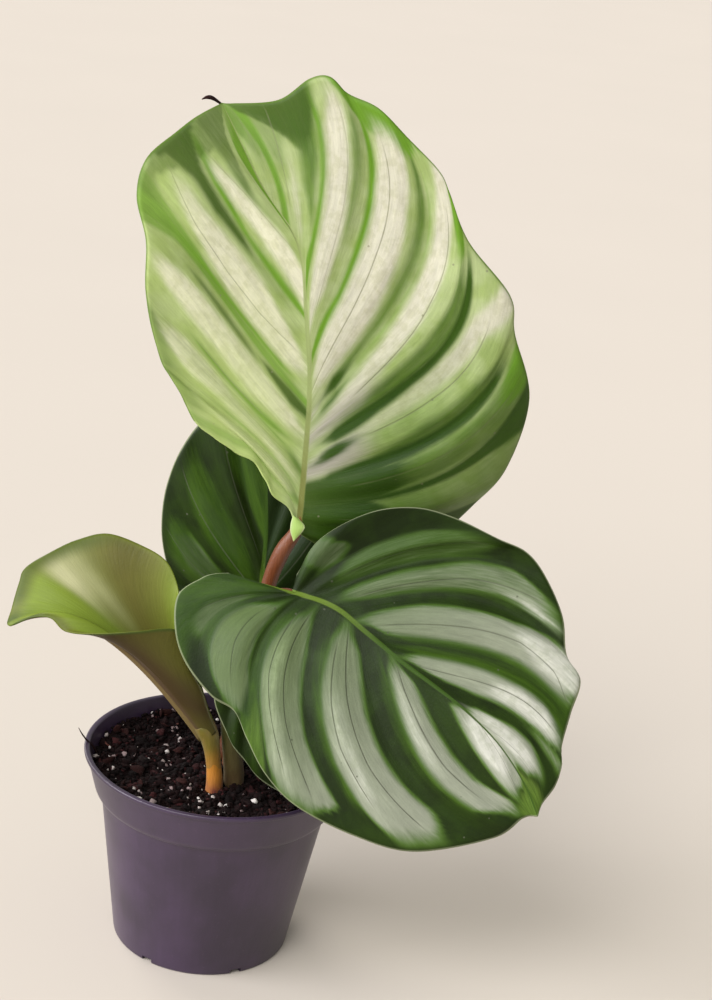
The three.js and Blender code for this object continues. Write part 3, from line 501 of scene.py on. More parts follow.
def hill(value, middle, spread):
    return bell(value - middle, spread)


def fade(value, width):
    """From 1 for low values to 0 for high ones, half at 0."""
    return 1 / (1 + np.exp(value / width))


def slope_up(value, low, high):
    t = np.clip((value - low) / (high - low), 0, 1)
    return t * t * (3 - 2 * t)


def unit(vector):
    return np.array(vector, float) / np.linalg.norm(vector)


def columns_of(rows):
    return np.moveaxis(rows, -1, 0)


def twice(values):
    """Values of a sheet, for the upper and the lower points of its body."""
    return np.tile(np.ravel(values), 2)


def directions_of(blade):
    along = unit(blade["along"])
    up = np.array(blade["up"], float)
    up = unit(up - up @ along * along)
    return np.cross(along, up), along, up


def placed(blade, local):
    """Points [across, along, up] of a blade, in millimetres of the whole object."""
    flat = np.array(blade["base"], float) + local.reshape(-1, 3) @ np.array(directions_of(blade))
    return flat.reshape(local.shape)


def veins_of(blade, name):
    """The veins of one half, with the tip of the blade as the last one."""
    veins = blade[name]
    return veins + [[math.floor(veins[-1][0]) + 1, 1, *blade["rib"][-1], 0, 0]]


def place_at(veins, s):
    rows = np.array(veins)
    return np.interp(s, rows[:, 1], np.arange(len(rows)) / (len(rows) - 1))


def rib_way(blade, s):
    way = catmull(blade["rib"], np.minimum(1, s + PROBE)) - catmull(blade["rib"], np.maximum(0, s - PROBE))
    way = way[..., :2]
    return way / np.linalg.norm(way, axis=-1, keepdims=True)


# Blades

def half_blade(blade, name, s, t):
    """Local points of one half, for places s on the rib and t along the veins, with their data."""
    side = 1 if name == "right" else -1
    veins = veins_of(blade, name)
    place = place_at(veins, s)
    band = linear(veins, place)[..., 0]
    _, _, end_x, end_y, end_z, rib_bow, end_bow = columns_of(catmull(veins, place))
    rib_x, rib_y, rib_z = columns_of(catmull(blade["rib"], s))
    way_x, way_y = columns_of(rib_way(blade, s))
    dx = end_x - rib_x
    dy = end_y - rib_y
    span = np.abs(dx * way_y - dy * way_x)
    bow = side * 3 * t * (1 - t) * ((1 - t) * rib_bow + t * end_bow)
    x = rib_x + dx * t + dy * bow
    y = rib_y + dy * t - dx * bow
    hump = np.maximum(0, np.sin(math.pi * t))
    relief = PLEAT * hump**PLEAT_FULLNESS + EDGE_WAVE * t**EDGE_POWER
    relief = relief * np.minimum(1, span / FULL_RELIEF_SPAN)
    z = rib_z + (end_z - rib_z) * t ** blade["lift"]
    z = z + blade["puff"] * span * hump - relief * np.cos(2 * math.pi * band)
    from_rib = np.abs((x - rib_x) * way_y - (y - rib_y) * way_x)
    length = np.hypot(dx, dy)
    data = {"band": band, "reach": t, "length": length, "rib_mm": from_rib, "margin_mm": (1 - t) * length,
            "side": np.full_like(t, max(side, 0)), "along": s}
    return np.stack([x, y, z], -1), data


def spacing_of(points, band):
    """Millimetres from one band to the next, at each point of a half."""
    step = np.linalg.norm(np.gradient(points, axis=0), axis=-1)
    return np.clip(step / np.maximum(np.abs(np.gradient(band, axis=0)), 1e-6), *SPACING_LIMITS)


def area_mask(data, points, feather):
    """How far each vertex lies inside an area: 1 inside, 0 outside, half on its edge."""
    place, low, high = np.array(points).T
    t = data["reach"]
    inside = np.minimum(data["band"] - np.interp(t, place, low), np.interp(t, place, high) - data["band"])
    mask = np.clip(0.5 + inside * data["spacing"] / (2 * feather), 0, 1)
    for limit, way in ((place[0], 1), (place[-1], -1)):
        if OPEN_ENDS[0] < limit < OPEN_ENDS[1]:
            past = way * (t - limit) * data["length"]
            mask = mask * np.clip(0.5 + past / (2 * END_FEATHER), 0, 1)
    return mask


def nearest_line(data, lines):
    """Signed distance to the nearest dark line, turned about from line to line, and its strength."""
    t = data["reach"]
    distance = np.full_like(t, NO_LINE)
    strength = np.zeros_like(t)
    ordered = sorted(lines, key=lambda line: line[1][1])
    for number, (amount, *points) in enumerate(ordered):
        place, middle = np.array(points).T
        away = (data["band"] - np.interp(t, place, middle)) * data["spacing"]
        ends = np.minimum(t - place[0], place[-1] - t) * data["length"]
        nearer = np.abs(away) < np.abs(distance)
        distance = np.where(nearer, away * (-1) ** number, distance)
        strength = np.where(nearer, amount * np.clip(0.5 + ends / LINE_END_FEATHER, 0, 1), strength)
    return distance, strength


def marks_on(data, marks):
    """The strength of every kind of marking at each vertex of a half."""
    masks = {}
    for kind, feather in MARK_FEATHER.items():
        masks[kind] = np.zeros_like(data["band"])
        for strength, *points in marks.get(kind, []):
            masks[kind] = np.maximum(masks[kind], strength * area_mask(data, points, feather))
    masks["line_mm"], masks["line"] = nearest_line(data, marks.get("line", []))
    return masks


def vertex_normals(points, quads):
    corners = points[quads]
    normal = np.cross(corners[:, 2] - corners[:, 0], corners[:, 3] - corners[:, 1])
    total = np.zeros_like(points)
    for k in range(4):
        np.add.at(total, quads[:, k], normal)
    return total / np.maximum(np.linalg.norm(total, axis=1, keepdims=True), 1e-12)


def thick_sheet(points, half, ridge=0.0, ridge_way=None):
    """Closed body round a sheet: upper points, then lower points. half and ridge are per vertex.

    The upper side and the wall take the first material, the lower side takes the second.
    """
    flat = points.reshape(-1, 3)
    count = len(flat)
    grid = np.arange(count).reshape(points.shape[:2])
    quads = np.stack([grid[:-1, :-1], grid[:-1, 1:], grid[1:, 1:], grid[1:, :-1]], -1).reshape(-1, 4)
    normals = vertex_normals(flat, quads)
    half = half.reshape(-1, 1)
    way = normals if ridge_way is None else ridge_way
    lower = flat - normals * half - way * np.reshape(ridge, (-1, 1))
    border = np.concatenate([grid[0], grid[1:, -1], grid[-1, -2::-1], grid[-2:0:-1, 0]])
    following = np.roll(border, -1)
    wall = np.stack([border, border + count, following + count, following], 1)
    faces = np.concatenate([quads, quads[:, ::-1] + count, wall])
    parts = np.repeat([0, 1, 0], [len(quads), len(quads), len(wall)])
    return np.concatenate([flat + normals * half, lower]), faces, parts


def thinned(half, edge):
    """Half the thickness of a sheet, which gets thin at its edge."""
    return half * (1 - EDGE_THINNING * np.exp(-edge / EDGE_REACH))


def margin_ripple(blade, data):
    """Small waves of a blade's lower left margin, as local shifts towards the rib."""
    place, shift = np.array(blade["ripple"]).T
    t = data["reach"]
    k = np.clip(np.searchsorted(place, t) - 1, 0, len(place) - 2)
    u = (t - place[k]) / (place[k + 1] - place[k])
    amount = shift[k] + (shift[k + 1] - shift[k]) * u * u * (3 - 2 * u)
    amount = amount * hill(data["band"], blade["left"][0][0], RIPPLE_BANDS)
    return amount[..., None] * np.array(RIPPLE_WAY)


def blade_sheet(blade, marks, columns, steps):
    """The middle surface of a whole blade as rows of points, and its vertex data."""
    evenly = np.linspace(0, 1, columns) * (1 - TIP_GAP / columns)
    s = sum(linear(veins_of(blade, name), evenly)[:, 1] for name in marks) / 2
    u = np.linspace(0, 1, steps + 1)
    reach = u - RIB_CROWDING * np.sin(math.pi * u) * (1 - u)
    s, reach = np.meshgrid(s, reach, indexing="ij")
    halves = []
    for name in marks:
        points, data = half_blade(blade, name, s, reach)
        if name == "left" and "ripple" in blade:
            points = points + margin_ripple(blade, data)
        data["spacing"] = spacing_of(points, data["band"])
        data.update(marks_on(data, marks[name]))
        del data["spacing"]
        halves.append({"points": points, **data})
    left, right = halves
    data = {key: np.concatenate([left[key][:, ::-1], right[key][:, 1:]], 1) for key in left}
    return data.pop("points"), data


def warmth(node, x, y):
    """Painted backlight: how much light showing through a blade is painted into its colour, turning its
    pale bands to yellow-green.

    x and y are millimetres across and along the blade.
    """
    if node != "upper_blade":
        return np.zeros_like(x)
    top = hill(x + 22, 0, 5) * slope_up(y, 84, 98) * 0.12
    margin = np.clip((-x - 26) / 12, 0, 1) * hill(y, 80, 14)
    return np.clip(fade(x + 4, 3) * (0.15 + 0.85 * fade(y - 46, 8)) + top + 0.6 * margin, 0, 1)


def depth_of_tone(node, x, y):
    """Painted shade: where a blade is painted darker and greener than its own tones, for the same x and y.
    """
    if node == "upper_blade":
        # The upper blade's lower right lobe, turned away from the light, and its upper left corner get
        # painted shade
        lobe = fade(10 - x, 4) * fade(y - 34 - 0.35 * x, 5) * (1 - 0.6 * slope_up(x, 26, 44))
        corner = fade(x + 24 + 0.2 * (y - 92), 4) * fade(84 - y, 5)
        return np.clip(0.8 * lobe + 0.2 * corner, 0, 1)
    # The foot of the front blade, in the upper blade's shadow, gets painted shade
    if node == "front_blade":
        return np.clip(1.05 * fade(y - 30, 12), 0, 1)
    # The back blade and the low leaf get a little painted shade all over
    return np.full_like(x, 0.25)


def blade_piece(node, slot, blade, left, right, columns, steps, materials):
    points, data = blade_sheet(blade, {"left": left, "right": right}, columns, steps)
    data["warm"] = warmth(node, points[..., 0], points[..., 1])
    data["deep"] = depth_of_tone(node, points[..., 0], points[..., 1])
    points[..., 2] += RIB_RISE * bell(data["rib_mm"], RIB_HALF_WIDTH) * (0.3 + 0.7 * (1 - data["along"]))
    start, end = blade["ridge"]
    ridge = (start + (end - start) * data["along"]) * bell(data["rib_mm"], RIDGE_HALF_WIDTH)
    half = thinned(HALF_THICKNESS, data["margin_mm"])
    body, faces, parts = thick_sheet(placed(blade, points), half, ridge, directions_of(blade)[2])
    attributes = {key: twice(values) for key, values in data.items()}
    finish_piece(new_piece(node + "_fine", body, faces, materials, parts, attributes), slot, node)


# Pieces

def new_piece(name, points, faces, materials, parts=None, attributes=None):
    """A smooth mesh object from points in millimetres and faces of three or four corners."""
    mesh = bpy.data.meshes.new(name)
    mesh.from_pydata((np.asarray(points) * MM).tolist(), [], [list(map(int, face)) for face in faces])
    for key, values in (attributes or {}).items():
        layer = mesh.attributes.new(key, "FLOAT", "POINT")
        layer.data.foreach_set("value", np.asarray(values, np.float32))
    for material in materials:
        mesh.materials.append(material)
    if parts is not None:
        mesh.polygons.foreach_set("material_index", np.asarray(parts, np.int32))
    mesh.validate()
    return in_scene(name, smoothed(mesh))


def smoothed(mesh):
    mesh.polygons.foreach_set("use_smooth", np.ones(len(mesh.polygons), bool))
    mesh.update()
    return mesh


def in_scene(name, data):
    made = bpy.data.objects.new(name, data)
    bpy.context.scene.collection.objects.link(made)
    return made


def finish_piece(piece, slot, *nodes):
    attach(piece, BODY)
    if nodes:
        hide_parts(*nodes)


def ring_faces(rows, sides):
    """Faces of rows of points round an axis, closed by one more point at each end."""
    count = rows * sides
    here = np.arange(count).reshape(rows, sides)
    after = np.roll(here, -1, 1)
    faces = np.stack([here[:-1], after[:-1], after[1:], here[1:]], -1).reshape(-1, 4).tolist()
    for j in range(sides):
        faces.append([count, after[0, j], here[0, j]])
        faces.append([count + 1, here[-1, j], after[-1, j]])
    return faces


# Young blade

YOUNG_COLUMNS = 260
YOUNG_STEPS = 90
YOUNG_HALF = 0.26
YOUNG_RIDGE = 0.9
YOUNG_RIDGE_SHARE = 0.016
YOUNG_RIDGE_TAPER = 0.7
YOUNG_VEINS = 22
YOUNG_VEIN_LEAN = 2.2
YOUNG_WIDTH = 60
YOUNG_LENGTH = 55
YOUNG_RIB_REACH = 70
YOUNG_BULGE = 1.0
YOUNG_BULGE_PLACE = 0.32
YOUNG_BULGE_SPREAD = 0.17


def young_sheet(blade, place, h, from_tip):
    """Local points of the funnel, for places round it and heights h up it."""
    angle = np.radians(blade["seam_start"] + blade["seam_turn"] * place)
    start_x = blade["throat"] * np.cos(angle)
    start_z = blade["throat"] * np.sin(angle)
    end = catmull(blade["mouth"], place)
    a = (1 - h) ** 2
    b = 2 * h * (1 - h)
    c = h**2
    x = a * start_x + b * (blade["belly"] * start_x + blade["lean"]) + c * end[..., 0]
    x += YOUNG_BULGE * hill(h, YOUNG_BULGE_PLACE, YOUNG_BULGE_SPREAD) * np.clip(np.cos(angle), 0, 1)
    flare = blade["flare"] + blade["tip_flare"] * bell(from_tip, blade["tip_spread"])
    y = b * flare * end[..., 1] + c * end[..., 1]
    z = (a + b * blade["belly"]) * start_z + c * end[..., 2]
    return np.stack([x, y, z], -1)


def young_marks(place, h):
    """Tone areas of the young blade's two faces, by place round it and height h up it, a painted highlight
    among them.
    """
    # A painted highlight streak runs down the inside, with a wider faint one beside it
    sheen = hill(place, 0.63 - 0.09 * (1 - h), 0.02 + 0.04 * (1 - h)) * hill(h, 0.76, 0.2)
    wide_sheen = 0.45 * hill(place, 0.66, 0.035) * slope_up(h, 0.3, 0.7) * slope_up(h, 1.0, 0.92)
    rim = slope_up(h, 0.86, 0.97) * slope_up(place, 0.84, 0.7) * slope_up(place, 0.45, 0.5) * 0.8
    inside = {
        "bright": np.maximum(slope_up(place, 0.64, 0.54) * slope_up(h, 0.98, 0.86),
                             0.6 * slope_up(place, 0.84, 0.92)),
        "sheen": np.clip(sheen + wide_sheen, 0, 1),
        "brown": 0.9 * hill(place, 0.735 + 0.1 * (h - 0.44), 0.07) * slope_up(h, 1.0, 0.94),
        "edge": np.maximum(rim, slope_up(h, 0.9, 0.97) * hill(place, 0.36, 0.09) * 0.9)
        + 0.7 * slope_up(h, 0.74, 0.94) * hill(place, 0.42, 0.035),
        "pale": slope_up(place, 0.965, 0.995) * 0.8,
    }
    outside = {
        "bright": np.maximum(slope_up(place, 0.2, 0.06) * slope_up(h, 0.1, 0.6),
                             0.5 * slope_up(h, 0.2, 0.02)),
        "sheen": 0.8 * hill(place, 0.255 + 0.1 * (0.8 - h), 0.032) * hill(h, 0.66, 0.2),
        "brown": np.maximum(hill(place, 0.32, 0.06) * 0.8, 0.8 * hill(place, 0.47, 0.06)),
        "edge": 0.8 * slope_up(h, 0.93, 0.99),
        "pale": 0.7 * slope_up(place, 0.04, 0.005)
        + 0.8 * hill(place, 0.25, 0.05) * slope_up(h, 0.88, 0.97),
    }
    return {key: np.concatenate([inside[key].ravel(), outside[key].ravel()]) for key in inside}


def young_piece(materials):
    h, place = np.meshgrid(np.linspace(0, 1, YOUNG_STEPS + 1), np.linspace(0, 1, YOUNG_COLUMNS + 1),
                           indexing="ij")
    from_tip = np.abs(place - YOUNG_BLADE["tip_place"])
    local = young_sheet(YOUNG_BLADE, place, h, from_tip)
    ridge = YOUNG_RIDGE * bell(from_tip, YOUNG_RIDGE_SHARE) * (1 - YOUNG_RIDGE_TAPER * h)
    edge = np.minimum(np.minimum(place, 1 - place) * YOUNG_WIDTH, (1 - h) * YOUNG_LENGTH)
    body, faces, parts = thick_sheet(placed(YOUNG_BLADE, local), thinned(YOUNG_HALF, edge), ridge)
    attributes = {
        "band": twice(from_tip * YOUNG_VEINS - h * YOUNG_VEIN_LEAN),
        "reach": twice(h),
        "rib_mm": twice(from_tip * YOUNG_RIB_REACH * (0.15 + 0.85 * h)),
        **young_marks(place, h),
    }
    piece = new_piece("young_blade_fine", body, faces, materials, parts, attributes)
    finish_piece(piece, "young_blade", "young_blade")


# Stems and thin bits

STEM_SIDES = 36
STEM_STEPS = 120
STEM_WOBBLE = 0.035
SHEATH = {
    "path": rows_of("-.3 -8.66 52.6, -.75 -8.62 55.2, -1.25 -8.58 57.6, -1.8 -8.55 59.8, -2.55 -8.52 61.9,"
                    "-3.7 -8.55 63.9, -4.5 -8.57 65"),
    "radii": [1.9, 1.98, 2.1, 2.32, 2.56, 2.68, 2.66],
}
TWIG = {
    "path": rows_of("-30.2 -2.6 47.6, -31.2 -3.2 49.4, -32.6 -3.6 51.9, -34.2 -3.9 53.5, -35.6 -4 55.2,"
                    "-36.6 -4 56.8"),
    "radii": [0.26, 0.26, 0.24, 0.22, 0.17, 0.08],
}
DRY_TIP = {
    "path": rows_of("-18.3 29 215.6, -19.3 29.1 216.2, -21 29 217, -22.3 28.9 217, -23.5 28.8 216.4"),
    "radii": [0.3, 0.34, 0.5, 0.42, 0.1],
}


def tube_piece(name, form, sides, steps, wobble, seed, material, tone=0.0):
    """A closed tube along a smooth path, with the place along it and a tone as data."""
    place = np.linspace(0, 1, steps + 1)
    middle = catmull(form["path"], place)
    radius = catmull([[value] for value in form["radii"]], place)[:, 0]
    way = np.gradient(middle, axis=0)
    way /= np.linalg.norm(way, axis=1, keepdims=True)
    sideways = np.cross([0, 1, 0], way)
    sideways /= np.linalg.norm(sideways, axis=1, keepdims=True)
    forward = np.cross(way, sideways)
    angle = np.arange(sides) * 2 * math.pi / sides
    draw = np.random.default_rng(seed)
    uneven = 1 + wobble * sum(
        draw.uniform(0.3, 1) * np.sin(k * angle[None, :] + draw.uniform(3, 9) * place[:, None] + k)
        for k in (2, 3, 5)
    ) / 3
    ring = radius[:, None] * uneven
    body = (
        middle[:, None]
        + sideways[:, None] * (ring * np.cos(angle))[..., None]
        + forward[:, None] * (ring * np.sin(angle))[..., None]
    )
    points = np.concatenate([body.reshape(-1, 3), middle[:1], middle[-1:]])
    run = np.concatenate([np.repeat(place, sides), [0, 1]])
    data = {"run": run, "tone": tone * run}
    return new_piece(name, points, ring_faces(steps + 1, sides), [material], None, data)


# Pot

POT_PROFILE = [
    (0, 0, 0),
    (CHANNEL_INNER, 0, 0.3),
    (CHANNEL_INNER + CHANNEL_SLOPE, CHANNEL_HEIGHT, 0.3),
    (CHANNEL_OUTER - CHANNEL_SLOPE, CHANNEL_HEIGHT, 0.3),
    (CHANNEL_OUTER, 0, 0.3),
    (FOOT_RADIUS, 0, 0.7),
    (WALL_TOP_RADIUS, COLLAR_FOOT_HEIGHT - 0.3, 0.6),
    (COLLAR_FOOT_RADIUS - 0.5, COLLAR_FOOT_HEIGHT + 0.25, 0.35),
    (COLLAR_FOOT_RADIUS + 0.15, COLLAR_FOOT_HEIGHT + 1.3, 0.8),
    (COLLAR_TOP_RADIUS - 0.05, POT_HEIGHT - LIP_HEIGHT - 0.15, 0.25),
    (LIP_RADIUS, POT_HEIGHT - LIP_HEIGHT + 0.1, 0.3),
    (LIP_RADIUS, POT_HEIGHT, 0.5),
    (LIP_RADIUS - LIP_WIDTH, POT_HEIGHT, 0.5),
    (COLLAR_FOOT_RADIUS - WALL, COLLAR_FOOT_HEIGHT + LEDGE, 0.4),
    (WALL_TOP_RADIUS - WALL, COLLAR_FOOT_HEIGHT - LEDGE, 0.4),
    (FOOT_RADIUS - WALL, FLOOR, 0.8),
    (0, FLOOR, 0),
]
ARC_STEPS = 5
ARC_SHARE = 0.45
WALL_STEP = 2.0
DRAIN_SIDES = 40
SHARP_ANGLE = 40


def rounded_profile(corners):
    """An open outline of (radius, height) with each corner turned into an arc of its own radius."""
    points = [np.array(corner[:2], float) for corner in corners]
    outline = [points[0]]
    for before, point, after, corner in zip(points, points[1:], points[2:], corners[1:]):
        back = before - point
        ahead = after - point
        reach = min(corner[2], ARC_SHARE * np.linalg.norm(back), ARC_SHARE * np.linalg.norm(ahead))
        start = point + unit(back) * reach
        end = point + unit(ahead) * reach
        for f in np.arange(ARC_STEPS + 1) / ARC_STEPS:
            outline.append((1 - f) ** 2 * start + 2 * f * (1 - f) * point + f**2 * end)
    outline.append(points[-1])
    dense = [outline[0]]
    for point in outline[1:]:
        pieces = max(1, math.ceil(np.linalg.norm(point - dense[-1]) / WALL_STEP))
        start = dense[-1]
        dense.extend(start + (point - start) * k / pieces for k in range(1, pieces + 1))
    return dense


def lathe(name, outline, sides):
    """A closed mesh turned round the upright axis from an outline that starts and ends on it."""
    angle = np.arange(sides) * 2 * math.pi / sides
    inner = np.array(outline[1:-1])
    points = np.stack([
        inner[:, :1] * np.cos(angle),
        inner[:, :1] * np.sin(angle),
        np.repeat(inner[:, 1:], sides, 1),
    ], -1).reshape(-1, 3)
    points = np.concatenate([points, [[0, 0, outline[0][1]], [0, 0, outline[-1][1]]]])
    return new_piece(name, points, ring_faces(len(inner), sides), [])


def drain_cutter():
    """Drain holes and foot notches as one mesh to cut away."""
    shape = bmesh.new()
    inner = DRAIN_PLACE + DRAIN_RADIUS + NOTCH_GAP
    length = FOOT_RADIUS + 1 - inner
    hole = Matrix.Translation((DRAIN_PLACE * MM, 0, FLOOR * MM / 2))
    notch = (Matrix.Translation(((inner + length / 2) * MM, 0, 0))
             @ Matrix.Diagonal((length * MM, NOTCH_WIDTH * MM, 2 * NOTCH_HEIGHT * MM, 1)))
    for i in range(DRAIN_COUNT):
        turn = Matrix.Rotation(2 * math.pi * i / DRAIN_COUNT, 4, "Z")
        bmesh.ops.create_cone(shape, cap_ends=True, segments=DRAIN_SIDES, radius1=DRAIN_RADIUS * MM,
                              radius2=DRAIN_RADIUS * MM, depth=4 * FLOOR * MM, matrix=turn @ hole)
        bmesh.ops.create_cube(shape, size=1, matrix=turn @ notch)
    mesh = bpy.data.meshes.new("drain_cutter")
    shape.to_mesh(mesh)
    shape.free()
    return in_scene("drain_cutter", mesh)


def pot_piece(material):
    pot = lathe("pot_fine", rounded_profile(POT_PROFILE), POT_SIDES)
    cutter = drain_cutter()
    cut = pot.modifiers.new("drains", "BOOLEAN")
    cut.operation = "DIFFERENCE"
    cut.solver = "EXACT"
    cut.object = cutter
    uncut = pot.data
    pot.data = bpy.data.meshes.new_from_object(pot.evaluated_get(bpy.context.evaluated_depsgraph_get()))
    pot.modifiers.clear()
    bpy.data.meshes.remove(uncut)
    bpy.data.objects.remove(cutter)
    pot.data.materials.clear()
    pot.data.materials.append(material)
    smoothed(pot.data).set_sharp_from_angle(angle=math.radians(SHARP_ANGLE))
    finish_piece(pot, "pot", "pot")


# Soil

LUMP_ROUGHNESS = 0.75
LUMP_GRAIN = 1.3
LUMP_WIDTHS = (0.75, 1.35)
LUMP_DEPTHS = (0.7, 1.1)
LUMP_TURNS = (0, 6.3)
SIZE_POWER = 2.4
STEM_CLEARANCE = 0.6
SOIL_RADIUS = LIP_RADIUS - LIP_WIDTH - 1.6
RIM_ZONE = (0.88, 1.0)
RIM_OVERHANG = 0.8

# Loose bits: piece, skin, count, radii, flatness, how high they lie, subdivisions of the ball, seed,
# share at the rim
BITS = [
    ("soil_crumbs", "crumb_bits", 800, (0.4, 1.6), (0.4, 0.9), 0.0, 2, 11, 0.0),
    ("soil_grains", "crumb_bits", 6500, (0.2, 0.85), (0.4, 0.95), 0.3, 1, 17, 0.0),
    ("bark_chips", "bark_bits", 130, (0.5, 1.7), (0.2, 0.45), 0.5, 2, 23, 0.4),
    ("perlite_grains", "perlite_bits", 230, (0.22, 0.85), (0.6, 1.0), 0.6, 2, 37, 0.0),
]


def soil_height(x, y):
    """The same broad lumps as the frame's soil, with small ones on top."""
    broad = math.sin(0.31 * x + 1.3) * math.cos(0.27 * y - 0.4)
    middle = 0.6 * math.sin(0.62 * x - 0.45 * y + 0.7)
    small = 0.5 * math.sin(1.1 * x + 0.9 * y) * math.sin(0.8 * x - 1.2 * y + 2)
    fine = 0.55 * noise.noise(Vector((x * 0.55, y * 0.55, 3)))
    fine += 0.35 * noise.noise(Vector((x * 1.4, y * 1.4, 9)))
    bank = SOIL_BANK * slope_up(math.hypot(x, y), *SOIL_BANK_SPAN)
    return SOIL_TOP + SOIL_LUMP * (broad + middle + small) + fine + bank


def soil_piece(material):
    slope = (LIP_RADIUS - LIP_WIDTH - COLLAR_FOOT_RADIUS + WALL) / (POT_HEIGHT - COLLAR_FOOT_HEIGHT - LEDGE)
    edge_height = SOIL_TOP - SOIL_EDGE_DROP + SOIL_BANK
    rise = edge_height - COLLAR_FOOT_HEIGHT - LEDGE
    edge = COLLAR_FOOT_RADIUS - WALL + slope * rise - SOIL_CLEARANCE
    angle = np.arange(SOIL_SIDES) * 2 * math.pi / SOIL_SIDES
    sides = [
        (FOOT_RADIUS - WALL - 1, SOIL_FOOT),
        (WALL_TOP_RADIUS - WALL - SOIL_CLEARANCE, COLLAR_FOOT_HEIGHT - LEDGE),
        (COLLAR_FOOT_RADIUS - WALL - SOIL_CLEARANCE, COLLAR_FOOT_HEIGHT + LEDGE),
        (edge, edge_height),
    ]
    sides += [(edge * (1 - k / SOIL_RINGS), None) for k in range(1, SOIL_RINGS)]
    points = []
    for radius, height in sides:
        for a in angle:
            x = radius * math.cos(a)
            y = radius * math.sin(a)
            points.append((x, y, soil_height(x, y) if height is None else height))
    points += [(0, 0, SOIL_FOOT), (0, 0, soil_height(0, 0))]
    soil = new_piece("soil_bed", points, ring_faces(len(sides), SOIL_SIDES), [material])
    finish_piece(soil, "soil", "soil")


def clear_of_stems(x, y, size):
    for stem in STEMS.values():
        foot = stem["path"][0]
        if math.hypot(x - foot[0], y - foot[1]) < stem["radii"][0] + size * STEM_CLEARANCE:
            return False
    return True


def scatter(name, material, count, sizes, flatness, lift, subdivisions, seed, rim_share):
    """Many small lumps on the soil as one mesh, each a ball that is stretched and made rough."""
    draw = random.Random(seed)
    ball = bmesh.new()
    bmesh.ops.create_icosphere(ball, subdivisions=subdivisions, radius=1)
    shape = np.array([v.co[:] for v in ball.verts])
    shape_faces = np.array([[v.index for v in f.verts] for f in ball.faces])
    ball.free()
    points = []
    faces = []
    tones = []
    while len(points) < count:
        distance = SOIL_RADIUS * math.sqrt(draw.random())
        if draw.random() < rim_share:
            distance = SOIL_RADIUS * draw.uniform(*RIM_ZONE)
        turn = draw.uniform(0, 2 * math.pi)
        x = distance * math.cos(turn)
        y = distance * math.sin(turn)
        size = sizes[0] + (sizes[1] - sizes[0]) * draw.random() ** SIZE_POWER
        if not clear_of_stems(x, y, size) or distance + size > SOIL_RADIUS + RIM_OVERHANG:
            continue
        tilt = Matrix.Rotation(draw.uniform(*LUMP_TURNS), 3, "X")
        spin = tilt @ Matrix.Rotation(draw.uniform(*LUMP_TURNS), 3, "Z")
        stretch = np.array([draw.uniform(*span) for span in (LUMP_WIDTHS, LUMP_DEPTHS, flatness)])
        offset = Vector((draw.uniform(0, 100), 0, 0))
        rough = np.array([1 + LUMP_ROUGHNESS * noise.noise(Vector(p) * LUMP_GRAIN + offset) for p in shape])
        lump = shape * rough[:, None] * stretch * size @ np.array(spin)
        faces.append(shape_faces + len(points) * len(shape))
        points.append(lump + [x, y, soil_height(x, y) + size * lift])
        tones.append(np.full(len(shape), draw.random()))
    piece = new_piece(name, np.concatenate(points), np.concatenate(faces), [material], None,
                      {"tone": np.concatenate(tones)})
    finish_piece(piece, "soil")


# Small lobe at the foot of the upper blade

EAR_LEFT = rows_of("12 .4 121.2, 11.7 -.9 119.4, 11.9 -1.8 117.6, 12.9 -2.3 115.4")
EAR_RIGHT = rows_of("13.4 .1 120.6, 15.2 -1.5 119.5, 14.9 -2.2 118.2, 13 -2.4 115.4")
EAR_BULGE = 0.45
EAR_HALF = 0.2
EAR_WIDTH = 3
EAR_LENGTH = 4.5
EAR_PALE_EDGE = 0.35
EAR_ROWS = 24
EAR_COLUMNS = 16


def ear_piece(materials):
    """The small bright flap at the foot of the upper blade, in front of its stem."""
    down, over = np.meshgrid(np.linspace(0, 1, EAR_ROWS), np.linspace(0, 1, EAR_COLUMNS), indexing="ij")
    points = catmull(EAR_RIGHT, down) * (1 - over)[..., None] + catmull(EAR_LEFT, down) * over[..., None]
    points[..., 1] -= EAR_BULGE * np.sin(math.pi * over) * (1 - 0.5 * down)
    edge = np.minimum(np.minimum(over, 1 - over) * EAR_WIDTH, EAR_LENGTH * (1 - down))
    body, faces, parts = thick_sheet(points, thinned(EAR_HALF, edge))
    # The flap is painted as lit from behind, with a lime tint and a pale edge
    data = {key: 0 for key in ("deep", "along", "line", "side", "green", "silver", "dark", "lilac")}
    data.update({"band": over * 0.4, "reach": down, "length": 5, "rib_mm": NO_LINE, "line_mm": NO_LINE,
                 "margin_mm": NO_LINE, "lime": 0.6, "warm": 0.7,
                 "cream": np.exp(-edge / EAR_PALE_EDGE) * 0.6})
    attributes = {key: twice(down * 0 + value) for key, value in data.items()}
    piece = new_piece("upper_blade_ear", body, faces, materials, parts, attributes)
    finish_piece(piece, "striped_blade")


# Materials

def colour(red, green, blue):
    """A colour given in 0..255 display values as linear light."""
    shares = [value / 255 for value in (red, green, blue)]
    return (*(c / 12.92 if c <= 0.04045 else ((c + 0.055) / 1.055) ** 2.4 for c in shares), 1.0)


def tone_set(**values):
    """A table of tones, in which every group of three numbers is a colour."""
    table = {}
    for key, value in values.items():
        is_colour = isinstance(value, tuple) and len(value) == 3
        table[key] = colour(*value) if is_colour else value
    return table


